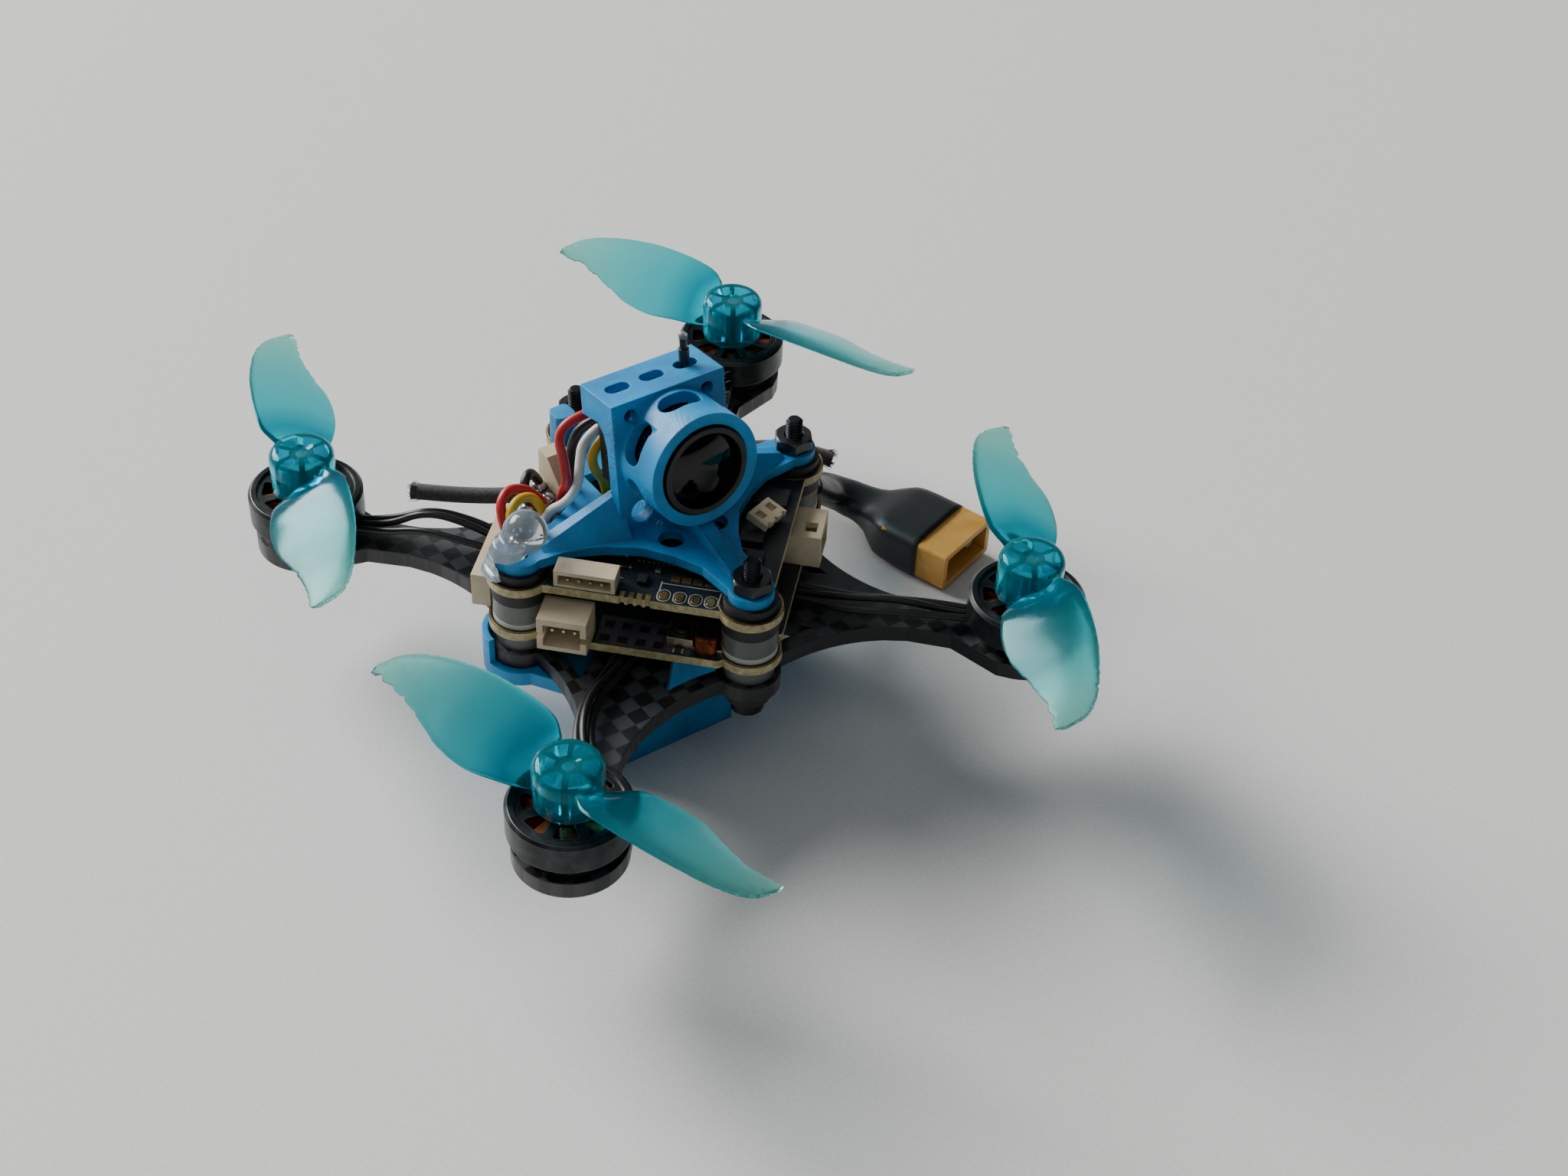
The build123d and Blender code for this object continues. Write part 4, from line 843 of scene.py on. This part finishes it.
def make_prop(corner):
    """Hub with its ribbed well and two blades, mirrored where the rotor turns the other way."""
    spin, turn = CORNERS[corner][2:]
    low, top = HUB_LOW, HUB_TOP
    outer = Soup()
    rounding = [(HUB_R - HUB_ROUND * (1 - cos(a)), top - HUB_ROUND + HUB_ROUND * sin(a))
                for a in (k * pi / 12 for k in range(7))]
    profile = [(0.0, low), (3.55, low), (HUB_R, low + 0.15)] + rounding
    profile += [(1.1, top), (0.9, top - 0.12), (0.0, top - 0.14)]
    outer.revolve((0, 0, 0), profile, 96)
    hub = soup_object("hub", outer)
    for k, half in enumerate((0, pi)):
        verts, faces = blade_shape(3.0 + k + 2 * list(CORNERS).index(corner))
        spun = Matrix.Rotation(half, 4, "Z")
        combine(hub, raw_object("blade", [spun @ v for v in verts], faces), "UNION")
    for k in range(6):
        pocket = Soup()
        a0, a1 = radians(60 * k + 6), radians(60 * k + 54)
        rim = [a0 + (a1 - a0) * i / 10 for i in range(11)]
        inner = [(WELL_IN * cos(a), WELL_IN * sin(a)) for a in (a0 + 0.11, (a0 + a1) / 2, a1 - 0.11)]
        outline = [(WELL_OUT * cos(a), WELL_OUT * sin(a)) for a in rim] + list(reversed(inner))
        n = len(outline)
        pocket.add([(x, y, low - 1) for x, y in outline] + [(x, y, top - WELL_ROOF) for x, y in outline],
                   [tuple(range(n))] + [tuple(reversed(range(n, 2 * n)))] +
                   [(i, (i + 1) % n, n + (i + 1) % n, n + i) for i in range(n)])
        combine(hub, soup_object("pocket", pocket), "DIFFERENCE")
    bore = Soup()
    bore.revolve((0, 0, 0), ((BORE_R, low - 1), (BORE_R, top - BORE_ROOF)), 40)
    combine(hub, soup_object("bore", bore), "DIFFERENCE")
    place = Matrix.Translation(Vector((middle(f"shaft_{corner}").x, middle(f"shaft_{corner}").y, 0)))
    place = place @ Matrix.Rotation(radians(turn), 4, "Z")
    if spin > 0:
        place = place @ Matrix.Scale(-1, 4, Vector((0, 1, 0)))
    hub.data.transform(Matrix.Scale(MM, 4) @ place)
    if spin > 0:
        hub.data.flip_normals()
    hub.data.polygons.foreach_set("use_smooth", [True] * len(hub.data.polygons))
    hub.data.set_sharp_from_angle(angle=radians(50))
    hub.name = f"propeller_{corner}"
    hub.data.materials.clear()
    hub.data.materials.append(prop_material(f"teal_prop_{corner}", corner))
    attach(hub, f"rotor_{corner}")
    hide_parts(f"prop_{corner}")


# ---- screws with threads and knurled heads ----
def make_screws(m):
    head_top = PLATE - 2.0 - 1.75 - 0.04
    low = head_top - 2.0
    for n, (x, y) in enumerate(LUGS):
        count = 48

        def hexagon(a):
            return 0.75 / cos((a % (pi / 3)) - pi / 6)

        def knurl(a):
            return 1.86 + 0.05 * abs(sin(18 * a))
        rows = [(low + 1.1, lambda a: 0.01), (low + 1.1, hexagon), (low, hexagon), (low, lambda a: 1.5),
                (low + 0.25, knurl), (head_top - 0.15, knurl), (head_top, lambda a: 1.8),
                (head_top, lambda a: 0.95)]
        thread_low, step, pitch = CANOPY - 1.0, 0.05, 0.4
        rows.append((thread_low, lambda a: 0.95))
        # the right-hand screw ends inside the glued canopy
        tip = CANOPY - 0.1 if n == 1 else SCREW_TIP
        turns = int((tip - 0.25 - thread_low) / step)
        for i in range(turns + 1):
            z = thread_low + i * step

            def thread(a, z=z):
                phase = ((z / pitch - a / (2 * pi)) % 1.0)
                return 0.79 + 0.2 * (1 - abs(2 * phase - 1))
            rows.append((z, thread))
        rows += [(tip - 0.02, lambda a: 0.72), (tip, lambda a: 0.6), (tip, lambda a: 0.01)]
        verts, faces = [], []
        for z, r in rows:
            verts += [(x + r(2 * pi * k / count) * cos(2 * pi * k / count),
                       y + r(2 * pi * k / count) * sin(2 * pi * k / count), z) for k in range(count)]
        for i in range(len(rows) - 1):
            for k in range(count):
                j = (k + 1) % count
                faces.append((i * count + k, i * count + j, (i + 1) * count + j, (i + 1) * count + k))
        screw = mesh_piece(f"screw_{n + 1}", verts, faces, m["black_steel"], sharp=35)
        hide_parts("stack_screws")


# ---- details on the boards ----
def board_details(m):
    up, low = UPPER + 0.012, LOWER + 0.012
    gold, white, silver, dark = Soup(), Soup(), Soup(), Soup()
    square = -pi / 4

    def pad(soup, s, t, z, w, h, thick=0.05):
        soup.box(on_board(s, t, z + thick / 2), (w, h, thick), square)

    def oval(soup, s, t, z, w, h, thick):
        """A flat pad with round ends."""
        rim = []
        for k in range(24):
            a = 2 * pi * k / 24
            x, y = w / 2 * cos(a), w / 2 * sin(a) + (h - w) / 2 * (1 if sin(a) > 0 else -1)
            spun = Matrix.Rotation(square, 3, "Z") @ Vector((x, y, 0))
            rim.append(Vector(on_board(s, t, z)) + spun)
        soup.add(rim + [v + Vector((0, 0, thick)) for v in rim],
                 [tuple(range(24, 48))] + [(i, (i + 1) % 24, 24 + (i + 1) % 24, 24 + i) for i in range(24)])

    # oval pads along the front-right edge of the upper board, each in a white outline
    for s in (3.36, 5.12, 6.84, 8.55):
        oval(white, s, 13.55, up, 1.5, 1.95, 0.03)
        oval(dark, s, 13.55, up, 1.3, 1.75, 0.045)
        oval(gold, s, 13.55, up, 0.95, 1.35, 0.07)
    for k in range(4):
        pad(gold, 4.07 + 1.27 * k, 10.6, up, 0.95, 0.95, 0.04)
        pad(gold, -1.0 + 0.95 * k, 14.2, up, 0.6, 0.85, 0.05)
    # the processor's pins, on all four sides
    for k in range(12):
        along = -0.45 + 0.55 * k
        for s, t, w, h in ((along, 8.15, 0.26, 0.8), (along, 0.75, 0.26, 0.8),
                           (-1.15, 1.45 + 0.55 * k, 0.8, 0.26), (6.35, 1.45 + 0.55 * k, 0.8, 0.26)):
            pad(silver, s, t, up, w, h, 0.12)
    # white lines, and rings round the lugs of both boards
    for s, t, w, h in ((2.75, 12.1, 0.14, 1.6), (9.35, 12.9, 0.14, 2.2), (6.0, 11.6, 6.4, 0.12),
                       (-5.1, 11.7, 7.2, 0.12), (11.2, 3.9, 3.0, 0.12), (11.2, 7.0, 3.0, 0.12)):
        pad(white, s, t, up, w, h, 0.03)
    for x, y in LUGS:
        for z in (UPPER, LOWER):
            ring = ((3.34, 0.0), (3.34, 0.025), (3.52, 0.025), (3.52, 0.0))
            gold.revolve((x, y, z), ring, 48, closed=True)
    # small resistors and capacitors: dark or pale bodies with silver ends
    rng = random.Random(11)
    spots = [(2.0, 9.6), (-1.6, 9.9), (-2.4, 8.1), (-2.5, 6.3), (-2.4, 4.4), (7.6, 8.4), (7.7, 6.6),
             (7.8, 4.7), (8.9, 9.6), (9.6, 8.2), (-4.4, 10.6), (-6.6, 10.4), (-8.8, 10.2), (10.0, 11.0),
             (11.6, 9.4)]
    for s, t in spots:
        x, y, z = on_board(s, t, up)
        turn = square + (pi / 2 if rng.random() < 0.5 else 0)
        (white if rng.random() < 0.3 else dark).box((x, y, z + 0.2), (0.8, 0.72, 0.4), turn)
        silver.box((x, y, z + 0.18), (1.3, 0.62, 0.34), turn)
    # lower board: white print area, painted darker grey as shade under the upper board; square pads, solder
    # tails by the inductor
    grey, brown = Soup(), Soup()
    pad(grey, 1.4, 13.5, low, 10.6, 4.6, 0.02)
    for s in (-2.9, -0.9, 1.1, 3.1):
        for t in (12.65, 14.9):
            pad(brown, s, t, low + 0.01, 1.1, 1.1, 0.08)
    grey.piece("board_label_area", m["silk_painted_shade"], slot="beige_nylon")
    brown.piece("board_square_pads", m["pad_brown"], slot="contact_metal")
    for s in (6.75, 9.85):
        pad(silver, s, 13.7, low, 0.6, 2.4, 0.55)
    for s in (-9.3, -8.1, -6.85, -5.6, -4.4):
        pad(silver, s, 13.4, low, 0.5, 1.1, 0.25)
    for s, t in ((9.6, 9.2), (10.4, 10.4), (8.7, 10.9), (11.8, 9.6), (-12.6, 10.6), (-11.4, 12.0),
                 (5.4, 15.4)):
        x, y, z = on_board(s, t, low)
        dark.box((x, y, z + 0.2), (0.75, 0.7, 0.4), square)
        silver.box((x, y, z + 0.18), (1.25, 0.6, 0.34), square)
    # contacts inside the camera socket
    for k in range(4):
        pad(silver, -7.0 + 1.25 * k, 13.7, up + 0.75, 0.3, 1.3, 0.3)
    gold.piece("board_pads", m["gold"], slot="contact_metal")
    white.piece("board_silk", m["silk_white"], slot="beige_nylon")
    silver.piece("board_contacts", m["contact_metal"], slot="contact_metal")
    dark.piece("board_small_parts", m["chip_black"], slot="chip_black")


def inductor_top(m):
    """Dark moulded top on the copper-sided inductor."""
    lo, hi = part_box("inductor")
    x, y, z = (lo + hi) / 2 / MM
    top = Soup()
    top.box((x, y, hi.z / MM + 0.03), (2.1, 2.7, 0.12), -pi / 4)
    top.piece("inductor_lid", m["chip_black"], slot="chip_black")


# ---- printing strings and hairs ----
HOOD_Z, HOOD_HALF, CAGE_HALF = 34.7, (6.5, 6.45), 7.05


def make_strings(m):
    """Fine plastic hairs that a printer leaves round the hood, the cage and the cradle."""
    rng = random.Random(23)
    hairs = Soup()
    for where, number in (("hood", 230), ("cage", 190), ("leg", 90), ("cradle", 80)):
        for _ in range(number):
            if where == "hood":
                a = rng.uniform(-0.6, pi + 0.9)
                front = rng.random() < 0.6
                y = rng.uniform(-7.9, -7.2) if front else rng.uniform(-7, -2)
                p = Vector((cos(a) * HOOD_HALF[0], y, HOOD_Z + sin(a) * HOOD_HALF[1]))
                out = Vector((cos(a), rng.uniform(-1, 0.3), sin(a))).normalized()
            elif where == "cage":
                p = Vector((rng.choice((-1, 1)) * CAGE_HALF, rng.uniform(-2.2, -1.2),
                            rng.uniform(29.0, 42.0)))
                away = 1 if p.x > 0 else -1
                out = Vector((away, rng.uniform(-1, 0.2), rng.uniform(-0.5, 0.6))).normalized()
            elif where == "leg":
                d = rng.uniform(9, 15)
                p = Vector((rng.choice((-0.8, 0.8)), -d, CANOPY + 0.6 + (15.4 - d) * 0.3))
                out = Vector((p.x, -0.4, 0.8)).normalized()
            else:
                p = Vector((rng.uniform(-14.5, 1.5), -10.7, rng.uniform(0.6, 12.4)))
                out = Vector((rng.uniform(-0.6, 0.6), -1, rng.uniform(-0.3, 0.6))).normalized()
            size = rng.uniform(0.12, 0.5) if rng.random() < 0.85 else rng.uniform(0.6, 1.2)
            bend = Vector([rng.uniform(-1, 1) for _ in range(3)]) * size * 0.5
            hairs.hair(p - out * 0.1, p + out * size * 0.6 + bend, p + out * size + bend * 0.6,
                       rng.uniform(0.025, 0.05))
    hairs.piece("printing_strings", m["string_pale"], slot="blue_print", sharp=80)


# ---- the glue drop ----
def soften_glue(m):
    """The glue drop flows together and holds a few bubbles."""
    glue = frame["nodes"]["glue_blob"]
    mesh = glue.modifiers.new("merge", "REMESH")
    mesh.mode, mesh.voxel_size, mesh.use_smooth_shade = "VOXEL", 0.14 * MM, True
    flow = glue.modifiers.new("flow", "SMOOTH")
    flow.factor, flow.iterations = 0.8, 14
    bubbles = Soup()
    rng = random.Random(8)
    centre = middle("glue_blob") + Vector((0.6, 0, 1.0))
    for _ in range(9):
        r = rng.uniform(0.09, 0.24)
        p = centre + Vector([rng.uniform(-1, 1) for _ in range(3)])
        bubbles.revolve(p, [(r * sin(a), -r * cos(a)) for a in (k * pi / 6 for k in range(1, 6))], 10)
    bubbles.piece("glue_bubbles", m["clear_tip"], slot="clear_glue", sharp=80)


# ---- the set ----
def make_set():
    bpy.ops.mesh.primitive_plane_add(size=4.0, location=(0, 0, 0))
    floor = bpy.context.object
    floor.name = "floor"
    s = Shader("table_paper", srgb(226, 226, 224), 0.75)
    s.colour(s.ramp(s.noise(2400, 6, 0.8), (0.3, srgb(216, 216, 214)), (0.7, srgb(234, 234, 233))))
    s.bump(s.noise(3200, 5, 0.8), 0.25, 0.0001)
    floor.data.materials.append(s.mat)
    world = bpy.data.worlds.new("room")
    world.use_nodes = True
    back = world.node_tree.nodes["Background"]
    tree = world.node_tree
    place = tree.nodes.new("ShaderNodeTexCoord")
    split = tree.nodes.new("ShaderNodeSeparateXYZ")
    tree.links.new(place.outputs["Generated"], split.inputs[0])
    room = tree.nodes.new("ShaderNodeValToRGB")
    # the room is dim in front of the drone and pale behind it, where the window is
    room.color_ramp.elements[0].position, room.color_ramp.elements[0].color = 0.0, (0.055, 0.06, 0.066, 1)
    room.color_ramp.elements[1].position, room.color_ramp.elements[1].color = 0.9, (0.62, 0.65, 0.67, 1)
    tree.links.new(split.outputs["Y"], room.inputs["Fac"])
    tree.links.new(room.outputs["Color"], back.inputs["Color"])
    back.inputs["Strength"].default_value = 0.6
    bpy.context.scene.world = world
    area_light("window", (-0.90, 2.85, 1.86), (0, 0, 0.01), (2.2, 1.7), 250.0, (1.0, 0.99, 0.965))
    area_light("fill", (-0.3, -0.4, 0.8), (-0.05, -0.07, 0.0), (1.1, 1.1), 1.7, (0.95, 0.98, 1.0))


def clear_antenna_tip(m):
    """A short clear cap on the end of the receiver antenna."""
    antenna = frame["nodes"]["antenna"]
    spots = [antenna.matrix_world @ v.co / MM for v in antenna.data.vertices]
    top = max(v.z for v in spots)
    crown = [v for v in spots if v.z > top - 0.8]
    x, y = sum(v.x for v in crown) / len(crown), sum(v.y for v in crown) / len(crown)
    tip = Soup()
    tip.revolve((x, y, top), ((0.0, -0.3), (0.5, -0.25), (0.52, 0.1), (0.3, 0.33), (0.0, 0.35)), 16)
    tip.piece("antenna_tip", m["clear_tip"], slot="milky_silicone", sharp=70)


def main():
    make_camera()
    materials = make_materials()
    make_leads(materials)
    paint_frame(materials)
    make_harness(materials)
    make_motor_wires(materials)
    make_elastic_cord(materials)
    for corner in CORNERS:
        make_prop(corner)
    make_screws(materials)
    board_details(materials)
    inductor_top(materials)
    frosted_rings(materials)
    make_strings(materials)
    soften_glue(materials)
    clear_antenna_tip(materials)
    make_set()


main()
